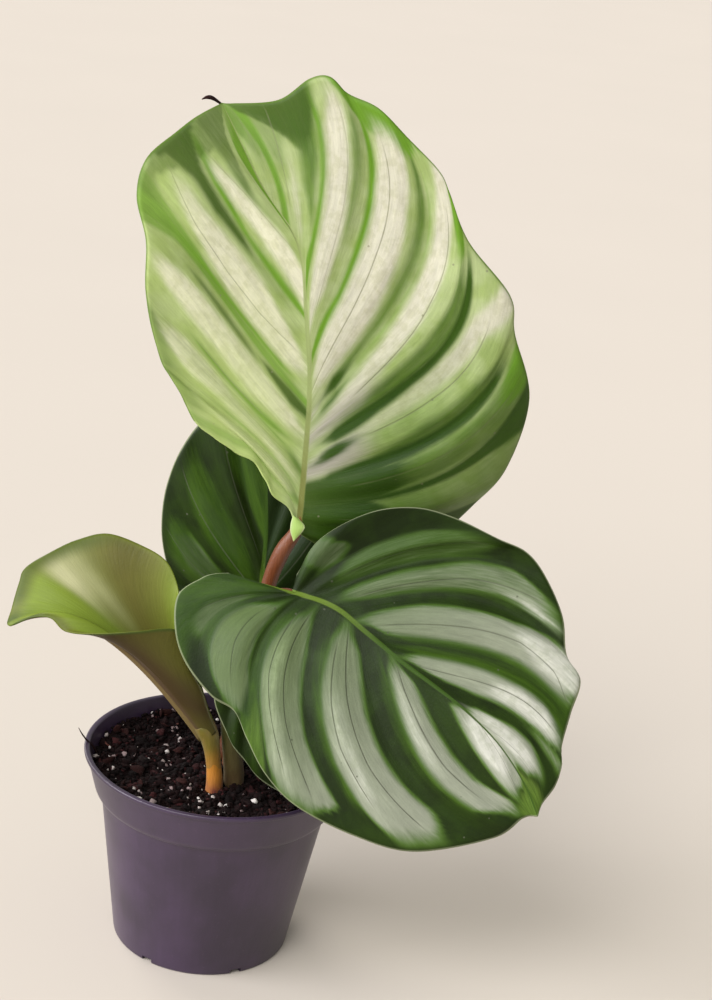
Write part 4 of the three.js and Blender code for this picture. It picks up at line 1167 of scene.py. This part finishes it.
class Value:
    """What a node puts out. Sums and products of values become nodes of the same material."""

    def __init__(self, look, socket):
        self.look = look
        self.socket = socket

    def math(self, operation, *others):
        return self.look.node("ShaderNodeMath", 0, dict(enumerate((self, *others))), operation=operation)

    def __add__(self, other):
        return self.math("ADD", other)

    def __sub__(self, other):
        return self.math("SUBTRACT", other)

    def __rsub__(self, other):
        return self.look.node("ShaderNodeMath", 0, {0: other, 1: self}, operation="SUBTRACT")

    def __mul__(self, other):
        return self.math("MULTIPLY", other)

    def __truediv__(self, other):
        return self.math("DIVIDE", other)

    def __abs__(self):
        return self.math("ABSOLUTE")

    def most(self, other):
        return self.math("MAXIMUM", other)

    def smooth(self, low, high, to_low=0.0, to_high=1.0):
        inputs = {"Value": self, "From Min": low, "From Max": high, "To Min": to_low, "To Max": to_high}
        return self.look.node("ShaderNodeMapRange", 0, inputs, interpolation_type="SMOOTHSTEP")


class Look:
    """One material and its nodes."""

    def __init__(self, name):
        self.material = bpy.data.materials.new(name)
        self.material.use_nodes = True
        self.tree = self.material.node_tree
        self.tree.nodes.clear()
        self.where = self.node("ShaderNodeTexCoord", "Object")

    def node(self, kind, output, inputs=(), **settings):
        """One output of a new node, by name or number."""
        node = self.tree.nodes.new(kind)
        for key, value in settings.items():
            setattr(node, key, value)
        for key, value in dict(inputs).items():
            if isinstance(value, Value):
                self.tree.links.new(value.socket, node.inputs[key])
            else:
                node.inputs[key].default_value = value
        return Value(self, node.outputs[output])

    def data(self, name):
        return self.node("ShaderNodeAttribute", "Fac", attribute_name=name)

    def stretched(self, x, y, z):
        return self.node("ShaderNodeMapping", 0, {"Vector": self.where, "Scale": (x, y, z)})

    def vector(self, x, y, z):
        return self.node("ShaderNodeCombineXYZ", 0, {0: x, 1: y, 2: z})

    def noise(self, vector, scale, detail=2.0, roughness=0.5):
        inputs = {"Vector": vector, "Scale": scale, "Detail": detail, "Roughness": roughness}
        return self.node("ShaderNodeTexNoise", 0, inputs)

    def cells(self, scale):
        return self.node("ShaderNodeTexVoronoi", "Distance", {"Vector": self.where, "Scale": scale})

    def mix(self, factor, a, b, blend="MIX"):
        return self.node("ShaderNodeMix", 2, {0: factor, 6: a, 7: b}, data_type="RGBA", blend_type=blend)

    def gain(self, tone, value, low, high):
        """A colour made darker or lighter by a value that runs from 0 to 1."""
        amount = self.node("ShaderNodeMapRange", 0, {"Value": value, "To Min": low, "To Max": high})
        grey = self.node("ShaderNodeCombineColor", 0, {0: amount, 1: amount, 2: amount})
        return self.mix(1.0, tone, grey, "MULTIPLY")

    def bump(self, height, distance, strength):
        inputs = {"Height": height, "Distance": distance, "Strength": strength}
        return self.node("ShaderNodeBump", 0, inputs)

    def surface(self, tone, roughness, gloss, normal=None, **constants):
        inputs = {"Base Color": tone, "Roughness": roughness, "Specular IOR Level": gloss}
        if normal is not None:
            inputs["Normal"] = normal
        inputs.update({key.replace("_", " "): value for key, value in constants.items()})
        return self.node("ShaderNodeBsdfPrincipled", 0, inputs)

    def done(self, shader):
        output = self.tree.nodes.new("ShaderNodeOutputMaterial")
        self.tree.links.new(shader.socket, output.inputs["Surface"])
        return self.material

    def thin(self, face, tone, normal, show_through):
        """The finished material of a blade that lets some light through."""
        through = self.node("ShaderNodeBsdfTranslucent", 0, {"Color": tone, "Normal": normal})
        return self.done(self.node("ShaderNodeMixShader", 0, {0: show_through, 1: face, 2: through}))


LEAF_ROUGHNESS = (0.38, 0.54)
STREAKS = 15.0
LINE_WIDTH = 0.3
HALO_EDGE = 0.22

# Each table also holds a darker green multiplied in as painted shade, and its share on dark areas
# Each table holds a yellow-green for painted backlight, which also tints the light let through
# The gains of each half and of each half's cream are painted light and shade by half
# The lilac tone is the colour of a painted reflection
UPPER_TONES = tone_set(
    sides=(1.17, 1.02), cream_sides=(1.0, 0.82), base=(168, 182, 128), base_shade=(150, 168, 102),
    silver=(176, 186, 150), green=(88, 120, 38), green_shade=(66, 98, 26), lime=(100, 144, 34),
    cream=(220, 216, 196), cream_shade=(204, 201, 176), dark=(48, 78, 8), lilac=(186, 178, 174),
    line=(122, 120, 98), rib=(158, 172, 112), rib_base=(136, 138, 72), rib_width=(0.95, 0.32),
    margin=(96, 124, 48), warm=(214, 236, 146), deep=(158, 182, 112), deep_on_dark=1.0,
    halo=(128, 150, 84), halo_strength=0.0, show_through=0.24)
DARK_TONES = tone_set(
    sides=(1.0, 1.0), cream_sides=(1.0, 1.0), base=(34, 53, 7), base_shade=(26, 41, 4),
    silver=(152, 157, 139), green=(62, 91, 19), green_shade=(46, 72, 12), lime=(120, 150, 62),
    cream=(212, 212, 202), cream_shade=(192, 194, 180), dark=(24, 42, 10), lilac=(168, 160, 158),
    line=(92, 94, 80), rib=(56, 84, 22), rib_base=(100, 124, 38), rib_width=(0.8, 0.25),
    margin=(142, 150, 116), warm=(150, 178, 80), deep=(146, 170, 116), deep_on_dark=0.4,
    halo=(84, 116, 44), halo_strength=0.75, show_through=0.14)
UNDER_TONES = tone_set(
    base=(160, 174, 136), shade=(118, 138, 92), rib=(172, 172, 112), margin=(124, 140, 78),
    show_through=0.24)
# The pale streak tone on each face is a painted highlight
YOUNG_TONES = {
    "young_inside": tone_set(
        base=(110, 117, 42), bright=(122, 142, 44), sheen=(190, 190, 144), brown=(98, 94, 37),
        edge=(72, 88, 18), pale=(150, 160, 92), rib=(132, 150, 52), show_through=0.16),
    "young_outside": tone_set(
        base=(72, 58, 30), bright=(96, 94, 36), sheen=(156, 138, 122), brown=(94, 76, 58),
        edge=(66, 84, 26), pale=(156, 158, 118), rib=(150, 128, 84), show_through=0.16),
}
# Skins of the stems: tones of foot, middle, head and blush, the places between which the foot's tone
# fades out, and the place where the head's tone begins
STEM_TONES = {
    "rust": tone_set(
        foot=(80, 42, 22), middle=(104, 54, 24), head=(124, 98, 42), blush=(126, 76, 40),
        foot_ends=(0.2, 0.42), head_starts=0.78),
    "amber": tone_set(
        foot=(112, 58, 48), middle=(176, 116, 34), head=(142, 112, 36), blush=(190, 124, 58),
        foot_ends=(0.3, 0.5), head_starts=0.62),
    "olive": tone_set(
        foot=(78, 60, 38), middle=(74, 76, 34), head=(66, 86, 32), blush=(96, 84, 50),
        foot_ends=(0.2, 0.42), head_starts=0.78),
    "sheath": tone_set(
        foot=(150, 108, 42), middle=(112, 100, 38), head=(100, 96, 38), blush=(150, 116, 70),
        foot_ends=(0.1, 0.55), head_starts=0.78),
}
HEAD_FADE = 0.2
# Loose bits: three tones, and the value from which a bit takes on the third one
BIT_TONES = {
    "crumb_bits": tone_set(low=(11, 4, 4), middle=(23, 9, 9), high=(60, 28, 29), high_from=0.88),
    "bark_bits": tone_set(low=(28, 13, 12), middle=(48, 24, 22), high=(98, 60, 52), high_from=0.84),
    "perlite_bits": tone_set(
        low=(140, 122, 122), middle=(176, 166, 162), high=(214, 208, 204), high_from=0.55),
}


def edge_jitter(mask, streak, low=0.0):
    """A marking's mask with its soft edge made uneven along the veins."""
    middle = mask * (1.0 - mask) * 2.2
    return (mask + middle * (streak - 0.5)).smooth(low, 1.0)


def vein_streaks(look, band, along):
    """Fine streaks that follow the veins, coarse and fine."""
    coarse = look.noise(look.vector(band * STREAKS, along * 0.1, 3.0), 1.0, 3.0, 0.6)
    fine = look.noise(look.vector(band * (STREAKS * 3), along * 0.3, 7.0), 1.0, 2.0)
    return coarse, fine


def leaf_material(name, tones):
    look = Look(name)
    band = look.data("band")
    reach = look.data("reach")
    along_vein = reach * look.data("length")
    streak, fine = vein_streaks(look, band, along_vein)
    cloud = look.noise(look.vector(band * 3.0, along_vein * 0.07, 1.0), 1.0, 3.0)
    patch = look.noise(look.where, 140.0, 3.0)
    mottle = look.noise(look.where, 420.0, 3.0, 0.6)
    masks = {key: look.data(key) for key in MARK_FEATHER}
    side = look.data("side")
    tone = look.mix(patch.smooth(0.35, 0.65), tones["base"], tones["base_shade"])
    tone = look.mix(masks["silver"].smooth(0.0, 0.4) * tones["halo_strength"], tone, tones["halo"])
    green = look.mix(cloud.smooth(0.38, 0.62), tones["green"], tones["green_shade"])
    cream = look.mix(mottle.smooth(0.4, 0.66), tones["cream"], tones["cream_shade"])
    # The cream of each half gets its own gain: on the upper blade the right half's cream has painted shade
    layers = {**tones, "green": green, "cream": look.gain(cream, side, *tones["cream_sides"])}
    # One of these layers is a painted lilac reflection near the upper blade's rib
    for key in ("silver", "green", "lime", "cream", "lilac", "dark"):
        low = HALO_EDGE if key == "silver" else 0.0
        tone = look.mix(edge_jitter(masks[key], streak, low), tone, layers[key])
    line = abs(look.data("line_mm")).smooth(LINE_WIDTH, 0.05) * look.data("line")
    tone = look.mix(line * fine.smooth(0.2, 0.6, 0.55, 0.95), tone, tones["line"])
    tone = look.mix(look.cells(150.0).smooth(0.055, 0.03, 0.0, 0.7), tone, tones["line"])
    # The last of these gains is painted light by half: the upper blade's left half is made lighter
    for value, low, high in ((streak, 0.75, 1.25), (fine, 0.88, 1.12), (cloud, 0.8, 1.2),
                             (mottle, 0.93, 1.07), (side, *tones["sides"])):
        tone = look.gain(tone, value, low, high)
    # Painted backlight: the tone turns yellow-green where the blade is painted as lit from behind, less on
    # its marks
    warm = look.gain(look.mix(0.58, tone, tones["warm"]), streak, 0.84, 1.16)
    marked = masks["dark"].most(masks["lime"].most(masks["green"]) * 0.75)
    tone = look.mix(look.data("warm") * (1.0 - marked * 0.75), tone, warm)
    # Painted shade: the tone is multiplied by a darker green, fully on pale areas and less on dark ones
    deep = look.mix(1.0, tone, tones["deep"], "MULTIPLY")
    paleness = masks["silver"].most(masks["cream"])
    tone = look.mix(look.data("deep") * paleness.smooth(0.0, 1.0, tones["deep_on_dark"], 1.0), tone, deep)
    place = look.data("along")
    rib = look.mix(place.smooth(0.02, 0.38), tones["rib_base"], tones["rib"])
    near = look.data("rib_mm") / place.smooth(0.0, 0.95, *tones["rib_width"])
    on_rib = near.smooth(1.0, 0.55) * reach.smooth(0.6, 0.25)
    tone = look.mix(on_rib * streak.smooth(0.2, 0.7, 0.75, 1.0), tone, rib)
    tone = look.mix(look.data("margin_mm").smooth(0.6, 0.2, 0.0, 0.75), tone, tones["margin"])
    height = streak * 0.7 + fine * 0.35 + look.cells(1700.0) * 0.18 + line * -0.5
    normal = look.bump(height, 0.00022, 0.5)
    roughness = (patch * 0.6 + streak * 0.4).smooth(0.2, 0.8, *LEAF_ROUGHNESS)
    face = look.surface(tone, roughness, 0.18, normal)
    # The light that really passes through the blade is tinted towards the painted backlight colour
    return look.thin(face, look.mix(0.4, tone, tones["warm"]), normal, tones["show_through"])


def under_material(name, tones):
    look = Look(name)
    band = look.data("band")
    streak, fine = vein_streaks(look, band, look.data("reach") * look.data("length"))
    vein = abs((band + 0.5).math("FRACT") - 0.5)
    small_vein = abs((band * 6.0).math("FRACT") - 0.5)
    patch = look.noise(look.where, 120.0, 3.0)
    # The underside is darker under the top's green, dark and lime areas, so also under the painted shade
    # among them
    marked = look.data("green").most(look.data("dark")).most(look.data("lime"))
    tone = look.mix(patch.smooth(0.3, 0.75, 0.0, 0.3), tones["base"], tones["shade"])
    tone = look.mix(vein.smooth(0.2, 0.03, 0.0, 0.55), tone, tones["shade"])
    tone = look.mix(edge_jitter(marked, streak) * 0.55, tone, tones["shade"])
    tone = look.mix(small_vein.smooth(0.12, 0.0, 0.0, 0.25), tone, tones["rib"])
    tone = look.gain(look.gain(tone, streak, 0.82, 1.16), fine, 0.9, 1.1)
    tone = look.mix(look.data("rib_mm").smooth(1.5, 0.7), tone, tones["rib"])
    tone = look.mix(look.data("margin_mm").smooth(0.8, 0.2), tone, tones["margin"])
    normal = look.bump(streak * 0.8 + look.cells(1500.0) * 0.25, 0.0002, 0.5)
    face = look.surface(tone, patch.smooth(0.3, 0.7, 0.5, 0.62), 0.3, normal)
    return look.thin(face, tone, normal, tones["show_through"])


def young_material(name, tones):
    look = Look(name)
    streak, fine = vein_streaks(look, look.data("band") * 0.5, look.data("reach") * 40.0)
    patch = look.noise(look.where, 110.0, 3.0)
    tone = tones["base"]
    # One of these areas is a painted highlight
    for key in ("bright", "brown", "sheen", "pale", "edge"):
        tone = look.mix(look.data(key), tone, tones[key])
    for value, low, high in ((streak, 0.86, 1.14), (fine, 0.94, 1.06), (patch, 0.84, 1.16)):
        tone = look.gain(tone, value, low, high)
    tone = look.mix(look.data("rib_mm").smooth(1.3, 0.4, 0.0, 0.5), tone, tones["rib"])
    normal = look.bump(streak * 0.7 + look.cells(1700.0) * 0.15, 0.0002, 0.45)
    face = look.surface(tone, patch.smooth(0.3, 0.7, 0.4, 0.5), 0.26, normal)
    return look.thin(face, tone, normal, tones["show_through"])


def stem_material(name, tones):
    look = Look(name)
    run = look.data("run")
    fibre = look.noise(look.stretched(1.0, 1.0, 0.07), 2600.0, 3.0, 0.6)
    patch = look.noise(look.stretched(1.0, 1.0, 0.35), 260.0, 3.0)
    start = tones["head_starts"]
    tone = look.mix(run.smooth(*tones["foot_ends"]), tones["foot"], tones["middle"])
    tone = look.mix(run.smooth(start, start + HEAD_FADE), tone, tones["head"])
    tone = look.mix(patch.smooth(0.42, 0.68, 0.0, 0.6), tone, tones["blush"])
    tone = look.gain(tone, fibre, 0.78, 1.22)
    normal = look.bump(fibre * 0.8 + look.noise(look.where, 1900.0) * 0.4, 0.0003, 0.6)
    return look.done(look.surface(tone, patch.smooth(0.3, 0.7, 0.36, 0.52), 0.5, normal,
                                  Sheen_Weight=0.12, Sheen_Roughness=0.4))


def pot_material():
    look = Look("pot_plastic")
    streak = look.noise(look.stretched(1.0, 1.0, 0.02), 520.0, 3.0, 0.6)
    cloud = look.noise(look.where, 55.0, 3.0)
    dust = look.noise(look.where, 900.0, 4.0, 0.7).smooth(0.6, 0.78)
    tone = look.mix(cloud.smooth(0.35, 0.65), colour(58, 43, 67), colour(46, 34, 53))
    tone = look.gain(tone, streak, 0.82, 1.18)
    tone = look.mix(dust * 0.22, tone, colour(114, 98, 114))
    normal = look.bump(look.noise(look.where, 2200.0) * 0.5 + streak * 0.5, 0.00012, 0.4)
    roughness = (cloud * 0.5 + dust * 0.5).smooth(0.1, 0.8, 0.34, 0.5)
    return look.done(look.surface(tone, roughness, 0.6, normal))


def soil_material():
    look = Look("soil_ground")
    patch = look.noise(look.where, 420.0, 4.0, 0.65)
    grain = look.noise(look.where, 2100.0, 3.0, 0.7)
    tone = look.mix(patch.smooth(0.35, 0.65), colour(12, 5, 5), colour(26, 11, 11))
    tone = look.mix(grain.smooth(0.62, 0.75, 0.0, 0.5), tone, colour(70, 40, 38))
    normal = look.bump(patch + grain * 0.5, 0.0006, 0.9)
    return look.done(look.surface(tone, grain.smooth(0.3, 0.7, 0.75, 0.95), 0.12, normal))


def bit_material(name, tones):
    """Small loose bits, each with its own tone."""
    look = Look(name)
    own = look.data("tone")
    grain = look.noise(look.where, 2600.0, 3.0, 0.7)
    tone = look.mix(own.smooth(0.25, 0.6), tones["low"], tones["middle"])
    tone = look.mix(own.smooth(tones["high_from"], 1.0), tone, tones["high"])
    tone = look.gain(tone, grain, 0.6, 1.35)
    normal = look.bump(grain, 0.0004, 0.8)
    return look.done(look.surface(tone, grain.smooth(0.3, 0.7, 0.75, 0.95), 0.14, normal))


def floor_material():
    look = Look("plain_floor")
    soft = look.noise(look.where, 6.0)
    tone = look.gain(colour(206, 198, 188), soft, 0.985, 1.015)
    return look.done(look.surface(tone, soft.smooth(0.3, 0.7, 0.9, 0.98), 0.02))


# The whole plant

# Blades: node, slot, table, markings of the left and of the right half, columns, steps in a half
BLADES = [
    ("upper_blade", "striped_blade", UPPER_BLADE, UPPER_LEFT_MARKS, UPPER_RIGHT_MARKS, 300, 40),
    ("front_blade", "striped_blade", FRONT_BLADE, FRONT_LEFT_MARKS, FRONT_RIGHT_MARKS, 300, 40),
    ("back_blade", "green_blade", BACK_BLADE, BACK_LEFT_MARKS, BACK_RIGHT_MARKS, 200, 34),
    ("low_leaf", "green_blade", LOW_BLADE, LOW_MARKS, LOW_MARKS, 140, 26),
]
# Tubes besides the stems: piece, form, sides, steps, unevenness, seed, skin, tone at the end, slot
THIN_TUBES = [
    ("young_sheath", SHEATH, 36, 60, 0.03, 4, "sheath", 0.0, "young_blade"),
    ("twig_bit", TWIG, 12, 40, 0.12, 5, "bark_bits", 0.3, "soil"),
    ("dry_tip", DRY_TIP, 14, 30, 0.2, 8, "bark_bits", 0.6, "striped_blade"),
]


def thin_tube(skins, name, form, sides, steps, wobble, seed, skin, tone, slot):
    finish_piece(tube_piece(name, form, sides, steps, wobble, seed, skins[skin], tone), slot)


def build_plant():
    under = under_material("blade_underside", UNDER_TONES)
    upper = [leaf_material("upper_face", UPPER_TONES), under]
    dark = [leaf_material("dark_face", DARK_TONES), under]
    blade_piece(*BLADES[0], upper)
    ear_piece(upper)
    for blade in BLADES[1:]:
        blade_piece(*blade, dark)
    young_piece([young_material(name, tones) for name, tones in YOUNG_TONES.items()])
    skins = {key: stem_material(key + "_skin", tones) for key, tones in STEM_TONES.items()}
    skins.update({name: bit_material(name, tones) for name, tones in BIT_TONES.items()})
    for name, stem in STEMS.items():
        piece = tube_piece(name + "_fine", stem, STEM_SIDES, STEM_STEPS, STEM_WOBBLE, len(name),
                           skins[stem["skin"]])
        finish_piece(piece, stem["slot"], stem["node"])
    thin_tube(skins, *THIN_TUBES[0])
    pot_piece(pot_material())
    soil_piece(soil_material())
    for name, skin, *form in BITS:
        scatter(name, skins[skin], *form)
    for tube in THIN_TUBES[1:]:
        thin_tube(skins, *tube)


# Floor, light and camera

FLOOR_HALF = 40.0
SKY_TINT = (1.0, 0.98, 0.95, 1)
SKY_STRENGTH = 0.48
# Suns: name, strength, spread in degrees, the side they stand on, tint
SUNS = [
    ("front_light", 2.0, 38, (-0.34, -0.7, 0.68), (1.0, 0.985, 0.955)),
    ("left_light", 3.3, 38, (-1.5, -0.42, 0.56), (0.97, 0.96, 1.0)),
    ("back_light", 1.1, 34, (-1.0, 1.1, 0.76), (1.0, 0.97, 0.9)),
]


def add_floor():
    mesh = bpy.data.meshes.new("floor")
    half = FLOOR_HALF
    corners = [(-half, -half, 0), (half, -half, 0), (half, half, 0), (-half, half, 0)]
    mesh.from_pydata(corners, [], [(0, 1, 2, 3)])
    mesh.materials.append(floor_material())
    in_scene("floor", mesh)


def soft_sun(name, strength, spread, way, tint):
    """A broad even light from far away, from the side that way points to."""
    light = bpy.data.lights.new(name, "SUN")
    light.energy = strength
    light.angle = math.radians(spread)
    light.color = tint
    in_scene(name, light).rotation_euler = Vector(way).to_track_quat("Z", "Y").to_euler()


def add_light():
    for sun in SUNS:
        soft_sun(*sun)
    world = bpy.data.worlds.new("studio")
    world.use_nodes = True
    background = world.node_tree.nodes["Background"]
    background.inputs["Color"].default_value = SKY_TINT
    background.inputs["Strength"].default_value = SKY_STRENGTH
    bpy.context.scene.world = world


def add_camera():
    tilt = math.radians(TILT)
    roll = math.radians(ROLL)
    back = Vector((0, -math.cos(tilt), math.sin(tilt)))
    level_up = Vector((0, math.sin(tilt), math.cos(tilt)))
    right = Vector((math.cos(roll), 0, 0)) - math.sin(roll) * level_up
    up = Vector((math.sin(roll), 0, 0)) + math.cos(roll) * level_up
    lens = bpy.data.cameras.new("view")
    lens.sensor_width = SENSOR
    lens.lens = FOCAL_PIXELS * SENSOR / FRAME_HEIGHT
    lens.clip_start = NEAR_END
    camera = in_scene("view", lens)
    place = Matrix.Translation((Vector(TARGET) + DISTANCE * back) * MM)
    camera.matrix_world = place @ Matrix((right, up, back)).transposed().to_4x4()
    bpy.context.scene.camera = camera


build_plant()
add_floor()
add_light()
add_camera()
bpy.context.scene.view_settings.view_transform = "Standard"
